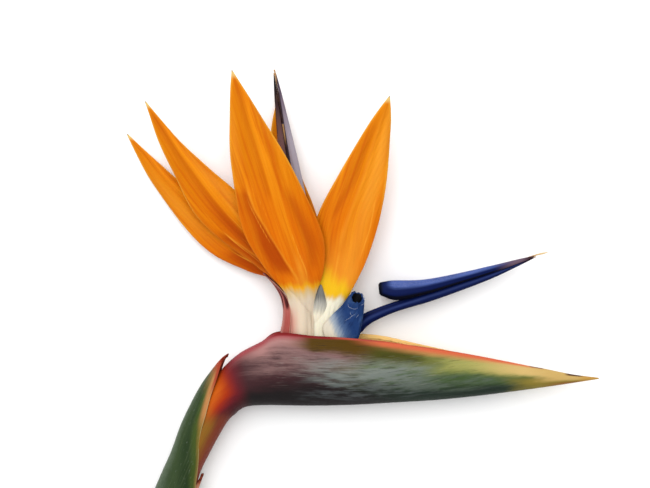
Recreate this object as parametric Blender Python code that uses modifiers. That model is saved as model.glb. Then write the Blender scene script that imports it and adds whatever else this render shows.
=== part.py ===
"""Bird of paradise flower (Strelitzia reginae) on a cut stem, lying on its side.

Metres, +Z up. The stem, the spathe and the flowers lie along the XY plane, with the spathe's
beak toward +X and the flowers' tips toward +Y. The origin is on the surface that the flower
lies on, under the middle of its outline.

The tables are in millimetres from the throat, which is where the flowers leave the spathe's
rim, halfway through the spathe: x toward the beak, y toward the flowers' tips, z up.
"""
import math

import bmesh
import bpy
from mathutils import Vector

MM = 0.001

# The throat's place, in millimetres from the origin
THROAT = Vector((-7.372, 29.87, 11.76))

# Wall thicknesses, in millimetres
SPATHE_WALL = 1.3
SHEATH_WALL = 1.1
BRACT_WALL = 0.9
SEPAL_WALL = 1.1

# How finely the tables are read
SPATHE_STEPS = 2
SHEATH_STEPS = 2
SEPAL_STEPS = 2
ROD_STEPS = 2
WRAP_COLUMNS = 14
SEPAL_COLUMNS = 6
RING_POINTS = 12

# The stem runs straight from here, with its fall toward the surface in its direction
STEM_TOP = Vector((-54.9, -56.2, 0.0))
STEM_RUN = Vector((-0.411, -0.912, -0.027))
STEM_SIDE = Vector((0.912, -0.411, 0.0))
STEM_LENGTH = 130.0

# The distances down the stem at which the peduncle's width is set
UPPER_STEM = 33.0
LOWER_STEM = 100.0

# Away from the surface
UP = Vector((0.0, 0.0, 1.0))

# Half the gap between the two petals of an arrow
PETAL_GAP = 0.2

# The shares of a keel's depth that its middle lies below the seam and that it reaches each way
KEEL_DROP = 0.38
KEEL_REACH = 0.62

# The radius of the stamens and the style, and how far above the keels they run
CORE_RADIUS = 0.35
CORE_GAP = 0.3

# The rows of HEAD where the keel leaves the neck and where the style takes over from the
# stamens, and the share of the row before it that lies between those two
KEEL_START = 3
STYLE_START = 6
STYLE_GAP = 0.05

# Flower 1's arrow is this far above the throat's height, and flower 2's is this much slimmer
ARROW_1_HEIGHT = -2.6
ARROW_2_SQUASH = 0.62


# ---------------------------------------------------------------- tools

def clear_objects():
    for item in list(bpy.data.objects):
        bpy.data.objects.remove(item, do_unlink=True)


def make_collection(name):
    collection = bpy.data.collections.new(name)
    bpy.context.scene.collection.children.link(collection)
    return collection


def make_material(name, colour, roughness):
    material = bpy.data.materials.new(name)
    material.use_nodes = True
    shader = material.node_tree.nodes["Principled BSDF"]
    shader.inputs["Base Color"].default_value = (*colour, 1.0)
    shader.inputs["Roughness"].default_value = roughness
    shader.inputs["Metallic"].default_value = 0.0
    return material


def smooth_rows(rows, steps):
    """The table's rows and `steps - 1` rows between each two, on a Catmull-Rom curve."""
    padded = [rows[0], *rows, rows[-1]]
    result = []
    for before, start, end, after in zip(padded, padded[1:], padded[2:], padded[3:]):
        for step in range(steps):
            t = step / steps
            result.append([
                0.5 * (2 * q + (r - p) * t + (2 * p - 5 * q + 4 * r - s) * t ** 2
                       + (3 * q - p - 3 * r + s) * t ** 3)
                for p, q, r, s in zip(before, start, end, after)])
    result.append(list(rows[-1]))
    return result


def add_object(name, data, material, collection):
    item = bpy.data.objects.new(name, data)
    item.data.materials.append(material)
    item.location = THROAT * MM
    collection.objects.link(item)
    return item


def mesh_from_rows(name, rows, closed, capped):
    """A mesh of quads between neighbouring rows of points, given in millimetres."""
    shape = bmesh.new()
    lines = [[shape.verts.new(point * MM) for point in row] for row in rows]
    count = len(lines[0])
    for low, high in zip(lines, lines[1:]):
        for k in range(count if closed else count - 1):
            after = (k + 1) % count
            shape.faces.new((low[k], low[after], high[after], high[k]))
    if capped:
        shape.faces.new(list(reversed(lines[0])))
        shape.faces.new(lines[-1])
    bmesh.ops.remove_doubles(shape, verts=shape.verts, dist=1e-6)
    mesh = bpy.data.meshes.new(name)
    shape.to_mesh(mesh)
    shape.free()
    mesh.shade_smooth()
    return mesh


def add_sheet(name, rows, wall, offset, material, collection):
    """A leaf-like piece: an open surface with a wall. An offset of -1 puts the wall inside."""
    mesh = mesh_from_rows(name, rows, closed=False, capped=False)
    item = add_object(name, mesh, material, collection)
    solid = item.modifiers.new("Wall", "SOLIDIFY")
    solid.thickness = wall * MM
    solid.offset = offset
    return item


def add_rod(name, points, material, collection):
    """A round piece along rows of x, y, z and radius."""
    curve = bpy.data.curves.new(name, "CURVE")
    curve.dimensions = "3D"
    curve.bevel_depth = MM
    curve.bevel_resolution = 4
    curve.use_fill_caps = True
    rows = smooth_rows(points, ROD_STEPS)
    spline = curve.splines.new("POLY")
    spline.points.add(len(rows) - 1)
    for point, (x, y, z, radius) in zip(spline.points, rows):
        point.co = (x * MM, y * MM, z * MM, 1.0)
        point.radius = radius
    return add_object(name, curve, material, collection)


# ---------------------------------------------------------------- wrapped leaves

def wrap_row(start, opposite, middle, half_width, near, far):
    """Points round a stem, from `near` above the start to `far` below it, in radians."""
    centre = (start + opposite) / 2
    reach = (start - opposite) / 2
    row = []
    for k in range(WRAP_COLUMNS + 1):
        angle = near - (near + far) * k / WRAP_COLUMNS
        point = centre + reach * math.cos(angle)
        point.z = middle + half_width * math.sin(angle)
        row.append(point)
    return row


def add_spathe(material, collection):
    """The boat-shaped bract: a closed tube round the stalk that opens at the throat."""
    # rim x, rim y, keel x, keel y, middle z, half width, width of the slot, far rim's rise
    table = (
        (-70.8, -75.4, -58.9, -80.7, -0.65, 6.6, 0, 0),
        (-65.3, -62.5, -52.4, -68.3, -0.25, 7.0, 0, 0),
        (-61.4, -53.3, -47.7, -59.4, 0, 7.3, 0, 0),
        (-52.1, -33.2, -39.2, -40.7, 0, 7.6, 0, 0),
        (-46.4, -23.2, -34.6, -36.4, 0, 8.0, 0, 0),
        (-39.8, -14.6, -31.0, -33.6, 0, 8.8, 0, 0),
        (-32.2, -8.0, -26.8, -31.8, 0, 9.6, 0, 0),
        (-23.0, -3.2, -19.6, -31.5, 0, 10.4, 0, 0),
        (-15.4, 1.2, -10.0, -31.5, 0, 11.0, 15, 0),
        (0.0, -0.1, 5.6, -31.5, 0, 11.5, 16.8, 0.5),
        (14.0, -0.9, 18.4, -31.3, 0, 11.5, 17, 1.2),
        (30.6, -2.4, 34.2, -30.6, 0, 10.8, 12.5, 2.2),
        (48.6, -5.1, 51.8, -29.5, 0, 9.4, 7, 2.2),
        (69.3, -8.3, 72.0, -27.7, 0, 7.4, 4, 1.2),
        (86.9, -11.7, 88.7, -25.7, 0, 5.6, 2.4, 0.5),
        (102.6, -14.9, 104.0, -23.6, 0, 3.6, 1.5, 0),
        (116.0, -17.6, 116.6, -21.7, 0, 2.2, 1.0, 0),
        (129.0, -19.2, 129.0, -19.8, 0, 0.9, 0.6, 0),
    )
    rows = []
    for values in smooth_rows(table, SPATHE_STEPS):
        rim = Vector((values[0], values[1], 0))
        keel = Vector((values[2], values[3], 0))
        middle, half_width, slot, rise = values[4:]
        margin = math.pi - math.asin(min(max(slot, 0) / (2 * half_width), 1))
        height = (1 - math.cos(margin)) / 2
        row = wrap_row(keel, keel + (rim - keel) / height, middle, half_width, margin, margin)
        half = WRAP_COLUMNS // 2
        for k in range(half + 1, WRAP_COLUMNS + 1):
            row[k].y += rise * ((k - half) / half) ** 2
        rows.append(row)
    return add_sheet("spathe", rows, SPATHE_WALL, -1, material, collection)


def add_wrap(name, table, wall, material, collection, flip=False):
    """A leaf wrapped round what it holds. Each row: start x, y, opposite x, y, middle z,
    half width, and how many degrees it reaches round above and below the start."""
    rows = []
    for x, y, far_x, far_y, middle, half_width, above, below in smooth_rows(table, SHEATH_STEPS):
        row = wrap_row(Vector((x, y, 0)), Vector((far_x, far_y, 0)), middle, half_width,
                       math.radians(min(above, 180)), math.radians(min(below, 180)))
        rows.append(row[::-1] if flip else row)
    return add_sheet(name, rows, wall, -1, material, collection)


def stem_row(run, start, opposite, half_width, reach):
    """A row for add_wrap at a distance along the straight stem; start and opposite are the
    distances from the stem's middle along STEM_SIDE."""
    middle = STEM_TOP + STEM_RUN * run
    first = middle + STEM_SIDE * start
    second = middle + STEM_SIDE * opposite
    return (first.x, first.y, second.x, second.y, middle.z, half_width, reach, reach)


# ---------------------------------------------------------------- sepals

def add_sepal(name, table, material, collection):
    """A long pointed sepal. Each row: left edge x, y, z, right edge x, y, z, and how far the
    middle stands above the line between the edges."""
    rows = []
    for values in smooth_rows(table, SEPAL_STEPS):
        left = Vector(values[0:3])
        right = Vector(values[3:6])
        row = []
        for k in range(SEPAL_COLUMNS + 1):
            across = k / SEPAL_COLUMNS
            point = left.lerp(right, across)
            point.z += values[6] * (1 - (2 * across - 1) ** 2)
            row.append(point)
        rows.append(row)
    return add_sheet(name, rows, SEPAL_WALL, 0, material, collection)


# ---------------------------------------------------------------- arrows

# The head of an arrow, from the back of its lobe to its tip: distance from the tip, lobe's
# middle above the seam, lobe's half height, half depth and distance out, keel's depth
HEAD = (
    (75.5, 5.6, 0.8, 0.8, 3.0, 4.6),
    (73.0, 5.4, 3.0, 1.9, 3.1, 4.6),
    (67.5, 4.6, 4.4, 2.3, 3.2, 4.5),
    (54.5, 3.2, 3.3, 2.2, 3.0, 4.0),
    (40.0, 2.2, 2.3, 1.8, 2.5, 3.5),
    (25.0, 1.5, 1.6, 1.2, 1.8, 2.5),
    (11.5, 0.9, 0.9, 0.65, 1.3, 1.2),
    (5.0, 0.4, 0.5, 0.4, 1.05, 0.7),
)


def frames(points, side):
    """Each point with the upward direction across the run of the points."""
    result = []
    for k, point in enumerate(points):
        run = points[min(k + 1, len(points) - 1)] - points[max(k - 1, 0)]
        result.append((point, side.cross(run).normalized()))
    return result


def frames_of_neck(neck, side):
    points = [Vector(row[:3]) for row in neck]
    return [(row, up) for row, (_, up) in zip(neck, frames(points, side))]


def ring(centre, up, side, half_height, inner, outer):
    """A D-shaped ring: straight on its inner side, round on its outer side."""
    row = []
    for k in range(RING_POINTS):
        angle = 2 * math.pi * k / RING_POINTS
        out = max(math.cos(angle), 0.0)
        row.append(centre + up * (half_height * math.sin(angle)) + side * (inner + out * outer))
    return row


def oval(centre, up, side, half_height, out, half_depth):
    """An oval ring whose middle is `out` from the centre, toward the side."""
    row = []
    for k in range(RING_POINTS):
        angle = 2 * math.pi * k / RING_POINTS
        row.append(centre + up * (half_height * math.sin(angle))
                   + side * (out + half_depth * math.cos(angle)))
    return row


def add_petal(name, hand, seam, neck, side, squash, material, collection, cutters):
    """One of the two petals of an arrow: a lobe joined to a keel that runs on as the neck.

    `seam` holds the seam's points for the rows of HEAD, `neck` rows of x, y, z, half height
    and half depth from the foot up to the head, and `hand` is 1 or -1 for the petal's side."""
    outward = side * hand
    lobe_rows = []
    keel_rows = []
    for (x, y, z, half_height, half_depth), up in frames_of_neck(neck, side):
        keel_rows.append(ring(Vector((x, y, z)), up, outward, half_height, PETAL_GAP, half_depth))
    for k, ((point, up), values) in enumerate(zip(frames(seam, side), HEAD)):
        _, rise, half_height, half_depth, out, keel = values
        lobe_rows.append(oval(point + up * rise * squash, up, outward, half_height * squash,
                              out, half_depth))
        if k >= KEEL_START:
            keel_rows.append(ring(point - up * KEEL_DROP * keel * squash, up, outward,
                                  KEEL_REACH * keel * squash, PETAL_GAP, KEEL_REACH * keel))
    if hand > 0:
        lobe_rows = [row[::-1] for row in lobe_rows]
        keel_rows = [row[::-1] for row in keel_rows]
    lobe = mesh_from_rows(name, lobe_rows, closed=True, capped=True)
    keel = mesh_from_rows(name + "_keel", keel_rows, closed=True, capped=True)
    item = add_object(name, lobe, material, collection)
    cutter = add_object(name + "_keel", keel, material, cutters)
    cutter.hide_render = True
    cutter.display_type = "WIRE"
    union = item.modifiers.new("Keel", "BOOLEAN")
    union.operation = "UNION"
    union.object = cutter
    return item


def add_core(prefix, seam, tip, side, squash, material, collection):
    """The stamens that the two petals hold between them, and the style beyond, up to the
    stigma that stands out at the arrow's tip."""
    points = []
    for (point, up), (*_, keel) in zip(frames(seam, side), HEAD):
        lift = (KEEL_REACH - KEEL_DROP) * keel * squash + CORE_RADIUS + CORE_GAP
        points.append(point + up * lift)
    joint = points[STYLE_START - 1].lerp(points[STYLE_START], STYLE_GAP)
    add_rod(prefix + "_stamens", [(*point, CORE_RADIUS) for point in
                                  points[KEEL_START:STYLE_START]], material, collection)
    add_rod(prefix + "_style", [(*point, CORE_RADIUS) for point in
                                (joint, *points[STYLE_START:], tip)], material, collection)


# ---------------------------------------------------------------- the stub

def oval_rows(table):
    across = Vector((0.94, -0.34, 0))
    rows = []
    for x, y, z, half_width, half_depth in smooth_rows(table, ROD_STEPS):
        ring_row = oval(Vector((x, y, z)), UP, across, half_depth, 0, half_width)
        rows.append(ring_row[::-1])
    return rows


def add_nectary(material, collection, cutters):
    """The short blue petal at the arrow's foot: a stub with an open mouth."""
    # x, y, z, half width along the surface, half depth
    body = (
        (10.6, -5.0, 5.3, 4.0, 1.3),
        (12.4, 0.8, 5.3, 8.2, 1.6),
        (15.4, 6.6, 5.2, 7.0, 1.9),
        (18.4, 12.0, 5.1, 5.0, 2.2),
        (20.7, 18.4, 5.0, 3.5, 2.8),
    )
    hollow = (
        (19.4, 13.8, 5.0, 1.2, 1.0),
        (20.2, 16.4, 5.0, 2.3, 1.8),
        (21.1, 20.2, 5.0, 2.9, 2.2),
    )
    stub, bore = [mesh_from_rows(name, oval_rows(rows), closed=True, capped=True)
                  for name, rows in (("flower_1_nectary", body), ("nectary_bore", hollow))]
    item = add_object("flower_1_nectary", stub, material, collection)
    cutter = add_object("nectary_bore", bore, material, cutters)
    cutter.hide_render = True
    cutter.display_type = "WIRE"
    cut = item.modifiers.new("Mouth", "BOOLEAN")
    cut.operation = "DIFFERENCE"
    cut.object = cutter


# ---------------------------------------------------------------- the flower

def build():
    clear_objects()
    parts = make_collection("bird_of_paradise_flower")
    cutters = make_collection("cutters")

    stalk = make_material("stalk", (0.36, 0.30, 0.07), 0.5)
    sheath = make_material("sheath", (0.10, 0.20, 0.06), 0.45)
    bract = make_material("bract", (0.20, 0.16, 0.14), 0.45)
    pink = make_material("pink_bract", (0.60, 0.25, 0.22), 0.5)
    orange = make_material("sepal", (0.86, 0.25, 0.01), 0.45)
    cream = make_material("flower_base", (0.80, 0.72, 0.50), 0.5)
    blue = make_material("blue_petal", (0.02, 0.03, 0.18), 0.4)
    faded = make_material("faded_petal", (0.20, 0.16, 0.20), 0.55)
    tan = make_material("style", (0.62, 0.42, 0.22), 0.6)

    stem_end = STEM_TOP + STEM_RUN * STEM_LENGTH
    lower_stem = STEM_TOP + STEM_RUN * LOWER_STEM
    upper_stem = STEM_TOP + STEM_RUN * UPPER_STEM
    add_rod("peduncle", (
        (*stem_end, 6.5),
        (*lower_stem, 6.5),
        (*upper_stem, 6.2),
        (-64.9, -78.1, -0.65, 4.8),
        (-54.6, -56.4, 0, 5.4),
        (-45.6, -37.0, 0, 5.5),
        (-40.4, -29.8, 0, 5.8),
        (-35.2, -24.4, 0, 6.4),
        (-29.4, -20.4, 0, 6.6),
        (-21.0, -19.4, 0, 6.2),
        (-8.0, -20.8, 0, 4.8),
        (4.0, -22.2, 0, 2.8),
    ), stalk, parts)

    add_spathe(bract, parts)

    add_wrap("upper_sheath", (
        (-38.4, -7.6, -30.0, -24.0, 0, 9.0, 3, 3),
        (-41.2, -10.8, -31.5, -29.0, 0, 9.4, 24, 30),
        (-45.2, -15.8, -34.0, -33.0, 0, 9.4, 50, 56),
        (-49.8, -22.2, -37.0, -36.8, 0, 9.4, 66, 74),
        (-54.2, -30.0, -39.4, -40.4, 0, 9.4, 76, 88),
        (-59.0, -40.0, -43.6, -48.2, 0, 9.2, 88, 104),
        stem_row(0, -9.5, 9.0, 9.0, 110),
        stem_row(9, -9.4, 9.2, 8.9, 138),
        stem_row(18, -9.2, 8.8, 8.7, 180),
        stem_row(32, -8.9, 8.4, 8.3, 180),
        stem_row(52, -8.3, 8.2, 8.2, 180),
        stem_row(70, -8.1, 8.1, 8.1, 180),
    ), SHEATH_WALL, sheath, parts)

    add_wrap("lower_sheath", (
        stem_row(3.5, 9.2, -9.0, 9.0, 3),
        stem_row(9, 9.8, -9.8, 9.8, 16),
        stem_row(15, 10.8, -10.4, 10.5, 34),
        stem_row(24, 10.8, -10.6, 10.5, 62),
        stem_row(36, 10.4, -10.6, 10.4, 100),
        stem_row(48, 10.3, -10.4, 10.3, 138),
        stem_row(60, 10.1, -10.1, 10.1, 180),
        stem_row(76, 9.8, -9.8, 9.8, 180),
        stem_row(92, 9.0, -9.0, 9.0, 180),
        stem_row(104, 8.2, -8.2, 8.2, 180),
    ), SHEATH_WALL, sheath, parts, flip=True)

    add_wrap("inner_bract", (
        (-14.0, -5.0, 5.0, -5.0, 0, 6.6, 52, 62),
        (-14.2, 1.4, 4.0, 1.0, 0, 6.6, 50, 66),
        (-13.4, 6.0, 3.0, 6.0, 0, 6.6, 48, 66),
        (-13.2, 12.0, 2.5, 12.4, 0, 6.4, 46, 64),
        (-14.6, 17.8, 1.0, 14.0, 0.4, 6.2, 38, 40),
        (-18.0, 23.4, -3.0, 15.0, 1.8, 5.4, 26, 14),
        (-22.0, 27.6, -6.0, 16.0, 3.6, 4.6, 4, 4),
    ), BRACT_WALL, pink, parts, flip=True)

    add_rod("flower_1_ovary", ((0.5, -17.6, 0.6, 2.6), (1.6, -12, 0.8, 3.4), (2.2, -5.4, 1.0, 2.4)),
            cream, parts)
    add_rod("flower_2_ovary", ((-12.0, -14.1, -0.6, 2.4), (-9.6, -9, -0.6, 3.2),
                               (-8.0, -5.2, -0.6, 2.6)), cream, parts)
    add_rod("flower_3_bud", ((4.8, -22.4, 0, 1.8), (22, -21, 0, 4.2), (40, -19.6, 0, 3.8),
                             (62, -18.8, 0, 1.0)), cream, parts)
    add_rod("flower_4_bud", ((8.0, -16.4, -3.0, 1.6), (20, -13.6, -3.4, 3.2),
                             (36, -12.8, -3.4, 2.8), (50, -13.0, -3.0, 0.8)), cream, parts)

    add_sepal("flower_1_sepal_front", (
        (-7.4, -4.0, 5.6, -1.2, -4.0, 5.6, 0.4),
        (-8.2, 6.0, 5.4, -0.8, 6.0, 5.4, 1.0),
        (-9.2, 13.0, 5.4, -0.6, 12.0, 5.6, 1.2),
        (-12.0, 19.0, 6.2, 1.4, 17.6, 6.6, 1.5),
        (-22.0, 31.8, 8.4, 5.4, 30.6, 9.4, 2.2),
        (-31.4, 49.6, 11.2, 4.0, 47.4, 12.6, 2.8),
        (-35.6, 76.8, 15.6, -9.2, 75.4, 17.2, 2.6),
        (-36.2, 99.2, 20.0, -22.8, 98.2, 20.6, 1.2),
        (-35.4, 115.4, 22.6, -34.6, 115.4, 22.6, 0.0),
    ), orange, parts)
    add_sepal("flower_1_sepal_right", (
        (2.0, -4.0, 2.3, 8.8, -4.0, 2.3, 0.2),
        (1.6, 6.0, 2.3, 12.2, 6.0, 2.1, 0.4),
        (1.8, 12.0, 2.3, 13.2, 12.0, 2.1, 0.5),
        (2.0, 18.0, 2.4, 16.4, 17.4, 2.4, 0.8),
        (1.2, 32.0, 3.3, 24.2, 33.2, 4.4, 1.4),
        (1.6, 51.0, 5.2, 30.2, 51.6, 6.4, 1.6),
        (12.0, 72.0, 7.4, 33.6, 71.6, 7.6, 1.4),
        (25.2, 94.2, 9.4, 35.2, 93.6, 8.4, 0.8),
        (34.2, 106.2, 9.8, 35.0, 106.2, 9.8, 0.0),
    ), orange, parts)
    add_sepal("flower_1_sepal_back", (
        (-4.6, -5.0, 3.2, 0.2, -5.0, 2.9, 0.2),
        (-4.8, 8.0, 3.2, -0.4, 8.0, 2.8, 0.2),
        (-7.0, 20.0, 3.4, -0.2, 19.0, 3.2, 0.3),
        (-14.0, 33.0, 4.6, -2.2, 32.0, 4.4, 0.5),
        (-24.0, 50.0, 7.0, -6.0, 49.0, 7.0, 0.8),
        (-29.0, 76.0, 10.0, -13.6, 76.0, 10.0, 0.8),
        (-30.4, 95.8, 12.6, -25.0, 95.8, 12.6, 0.4),
        (-31.2, 103.4, 13.6, -30.4, 103.4, 13.6, 0.0),
    ), orange, parts)
    add_sepal("flower_2_sepal_left", (
        (-10.8, -4.0, -2.8, -7.0, -4.0, -2.8, 0.2),
        (-10.3, 8.0, -2.8, -7.0, 8.0, -2.8, 0.2),
        (-10.3, 15.6, -3.2, -7.0, 15.0, -3.4, 0.3),
        (-16.8, 24.6, -4.4, -9.6, 22.4, -4.2, 0.5),
        (-29.4, 28.8, -5.2, -15.0, 33.0, -4.6, 1.2),
        (-45.0, 36.4, -6.6, -26.4, 43.0, -5.2, 1.8),
        (-59.0, 50.2, -8.2, -41.0, 55.4, -6.2, 2.0),
        (-72.0, 67.8, -9.8, -58.6, 68.2, -8.2, 1.6),
        (-79.6, 81.4, -10.8, -71.2, 79.0, -9.8, 0.8),
        (-84.2, 89.6, -11.2, -83.4, 89.8, -11.2, 0.0),
    ), orange, parts)
    add_sepal("flower_2_sepal_middle", (
        (-9.8, -4.0, 0.4, -6.8, -4.0, 0.4, 0.2),
        (-10.2, 8.0, 0.5, -6.8, 8.0, 0.5, 0.2),
        (-10.8, 16.4, 0.0, -7.0, 15.4, 0.4, 0.3),
        (-16.4, 23.6, -0.8, -8.2, 21.8, 0.2, 0.6),
        (-27.4, 32.6, -1.0, -12.0, 33.0, 1.2, 1.6),
        (-41.2, 43.2, -0.8, -20.0, 48.0, 2.2, 2.2),
        (-54.0, 56.2, -0.2, -31.2, 62.0, 3.0, 2.4),
        (-62.8, 74.0, 0.6, -46.8, 75.6, 3.0, 1.8),
        (-69.8, 89.8, 1.4, -59.6, 87.4, 2.6, 1.0),
        (-74.6, 103.4, 2.2, -73.8, 103.6, 2.2, 0.0),
    ), orange, parts)
    add_sepal("flower_2_sepal_back", (
        (-7.4, -4.0, -5.4, -3.0, -4.0, -5.4, 0.2),
        (-7.2, 8.0, -5.6, -1.6, 8.0, -5.6, 0.2),
        (-8.4, 22.0, -6.6, 3.0, 22.0, -6.6, -0.4),
        (-12.6, 38.0, -8.2, 6.0, 38.0, -8.2, -0.8),
        (-16.4, 55.4, -9.4, 1.6, 55.4, -9.4, -1.0),
        (-18.6, 76.8, -10.2, -6.8, 76.8, -10.2, -0.8),
        (-18.6, 93.4, -10.8, -11.0, 93.4, -10.8, -0.4),
        (-15.6, 108.4, -11.2, -14.8, 108.4, -11.2, 0.0),
    ), orange, parts)

    # Flower 1's arrow lies along the beak.
    seam_1 = [Vector((x, y, ARROW_1_HEIGHT)) for x, y in (
        (30.8, 15.0), (33.2, 15.2), (38.6, 15.6), (51.5, 18.6),
        (66.0, 23.2), (81.0, 28.0), (94.5, 32.8), (101.0, 35.2))]
    neck_1 = (
        (5.6, -8.8, ARROW_1_HEIGHT, 1.8, 1.6),
        (12.6, -4.6, ARROW_1_HEIGHT, 2.8, 1.8),
        (18.2, 1.4, ARROW_1_HEIGHT, 3.2, 2.0),
        (24.0, 6.7, ARROW_1_HEIGHT, 2.8, 2.3),
        (30.2, 9.8, ARROW_1_HEIGHT, 2.5, 2.5),
        (38.6, 13.0, ARROW_1_HEIGHT, 2.3, 2.6),
    )
    add_petal("flower_1_petal_near", 1, seam_1, neck_1, UP, 1.0, blue, parts, cutters)
    add_petal("flower_1_petal_far", -1, seam_1, neck_1, UP, 1.0, blue, parts, cutters)
    tip_1 = Vector((106.4, 37.2, ARROW_1_HEIGHT))
    add_core("flower_1", seam_1, tip_1, UP, 1.0, tan, parts)

    # Flower 2's arrow stands among the sepals with its slit upward and toward the beak.
    side_2 = Vector((0.94, 0.12, -0.32)).normalized()
    tip_2 = Vector((-16.8, 117.6, -1.0))
    run_2 = Vector((-0.145, 0.989, 0.0))
    seam_2 = [tip_2 - run_2 * row[0] for row in HEAD]
    neck_2 = (
        (-4.4, -5.6, -0.9, 1.3, 1.3),
        (-4.2, 12.0, -1.3, 1.4, 1.5),
        (-4.2, 30.0, -1.8, 1.6, 1.9),
        (-6.2, 48.0, -1.8, 1.9, 2.4),
    )
    add_petal("flower_2_petal_left", -1, seam_2, neck_2, side_2, ARROW_2_SQUASH, faded, parts, cutters)
    add_petal("flower_2_petal_right", 1, seam_2, neck_2, side_2, ARROW_2_SQUASH, faded, parts, cutters)
    add_core("flower_2", seam_2, tip_2, side_2, ARROW_2_SQUASH, tan, parts)

    add_nectary(blue, parts, cutters)
    add_sepal("flower_2_nectary", (
        (0.2, 3.6, 4.0, 3.0, 4.6, 3.8, 0.1),
        (0.0, 9.0, 4.8, 5.0, 8.6, 4.5, 0.4),
        (0.6, 15.0, 4.9, 6.8, 14.0, 4.6, 0.6),
        (3.6, 22.8, 5.0, 4.4, 22.6, 5.0, 0.0),
    ), faded, parts)


build()
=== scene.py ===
"""The looks of a cut bird of paradise flower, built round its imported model.

The tables are in millimetres from the throat, which is where the flowers leave the spathe's
rim: x toward the beak, y toward the flowers' tips, z up. They follow the tables that the
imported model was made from, with small changes at feet, tips and margins where the looks need
them, and the meshes here read them far more finely.
"""

import math

import bpy
import numpy as np
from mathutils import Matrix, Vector


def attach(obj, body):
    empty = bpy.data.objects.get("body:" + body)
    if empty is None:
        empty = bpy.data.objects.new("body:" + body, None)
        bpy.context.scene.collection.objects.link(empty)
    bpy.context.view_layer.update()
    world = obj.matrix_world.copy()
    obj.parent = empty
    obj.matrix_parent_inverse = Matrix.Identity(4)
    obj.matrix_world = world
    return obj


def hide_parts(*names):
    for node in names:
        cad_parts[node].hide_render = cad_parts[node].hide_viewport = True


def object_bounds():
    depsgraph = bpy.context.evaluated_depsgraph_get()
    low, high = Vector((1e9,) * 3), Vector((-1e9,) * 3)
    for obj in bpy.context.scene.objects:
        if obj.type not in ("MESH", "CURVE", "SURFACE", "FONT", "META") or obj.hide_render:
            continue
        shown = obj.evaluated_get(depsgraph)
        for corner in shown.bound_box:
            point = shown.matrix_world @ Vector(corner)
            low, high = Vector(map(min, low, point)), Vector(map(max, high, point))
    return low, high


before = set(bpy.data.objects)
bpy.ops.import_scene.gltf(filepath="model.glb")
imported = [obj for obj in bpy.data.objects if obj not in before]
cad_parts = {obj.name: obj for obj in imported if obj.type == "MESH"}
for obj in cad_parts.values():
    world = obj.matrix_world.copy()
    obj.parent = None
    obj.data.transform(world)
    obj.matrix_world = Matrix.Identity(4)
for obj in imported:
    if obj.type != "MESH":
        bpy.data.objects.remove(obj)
CAD_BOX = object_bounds()

MM = 0.001

# The throat's place in the frame, in millimetres
THROAT = np.array((-7.372, 29.87, 11.76))

# The height that nothing sinks below, in millimetres in the frame
SURFACE = 0.01

# Wall thicknesses, in millimetres
SPATHE_WALL = 1.3
SHEATH_WALL = 1.1
BRACT_WALL = 0.9
SEPAL_WALL = 1.1
MARGIN_WALL = 0.3

# How far a leaf can reach round on each side, in degrees, so that its margins don't meet
HALF_ROUND = 179.2

# The straight part of the stem, and its direction with its fall toward the surface
STEM_TOP = np.array((-54.9, -56.2, 0.0))
STEM_RUN = np.array((-0.411, -0.912, -0.027))
STEM_SIDE = np.array((0.912, -0.411, 0.0))
STEM_LENGTH = 130.0

UP = np.array((0.0, 0.0, 1.0))

# Half the gap between the two petals of an arrow
PETAL_GAP = 0.2

# The camera looks straight down from here
CAMERA_OVER = (5.85, 40.95)
CAMERA_HEIGHT = 975.0
CAMERA_LENS = 120.0
CAMERA_SENSOR = 36.0

# The light on the floor, where 1 just makes white
BRIGHTNESS = 1.45


# ---------------------------------------------------------------- finishes

def colour(red, green, blue):
    """A linear colour from everyday values of 0 to 255, as they look in the bright studio."""
    return (*(((value / 255 + 0.055) / 1.055) ** 2.4 / BRIGHTNESS
              for value in (red, green, blue)), 1.0)


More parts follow.
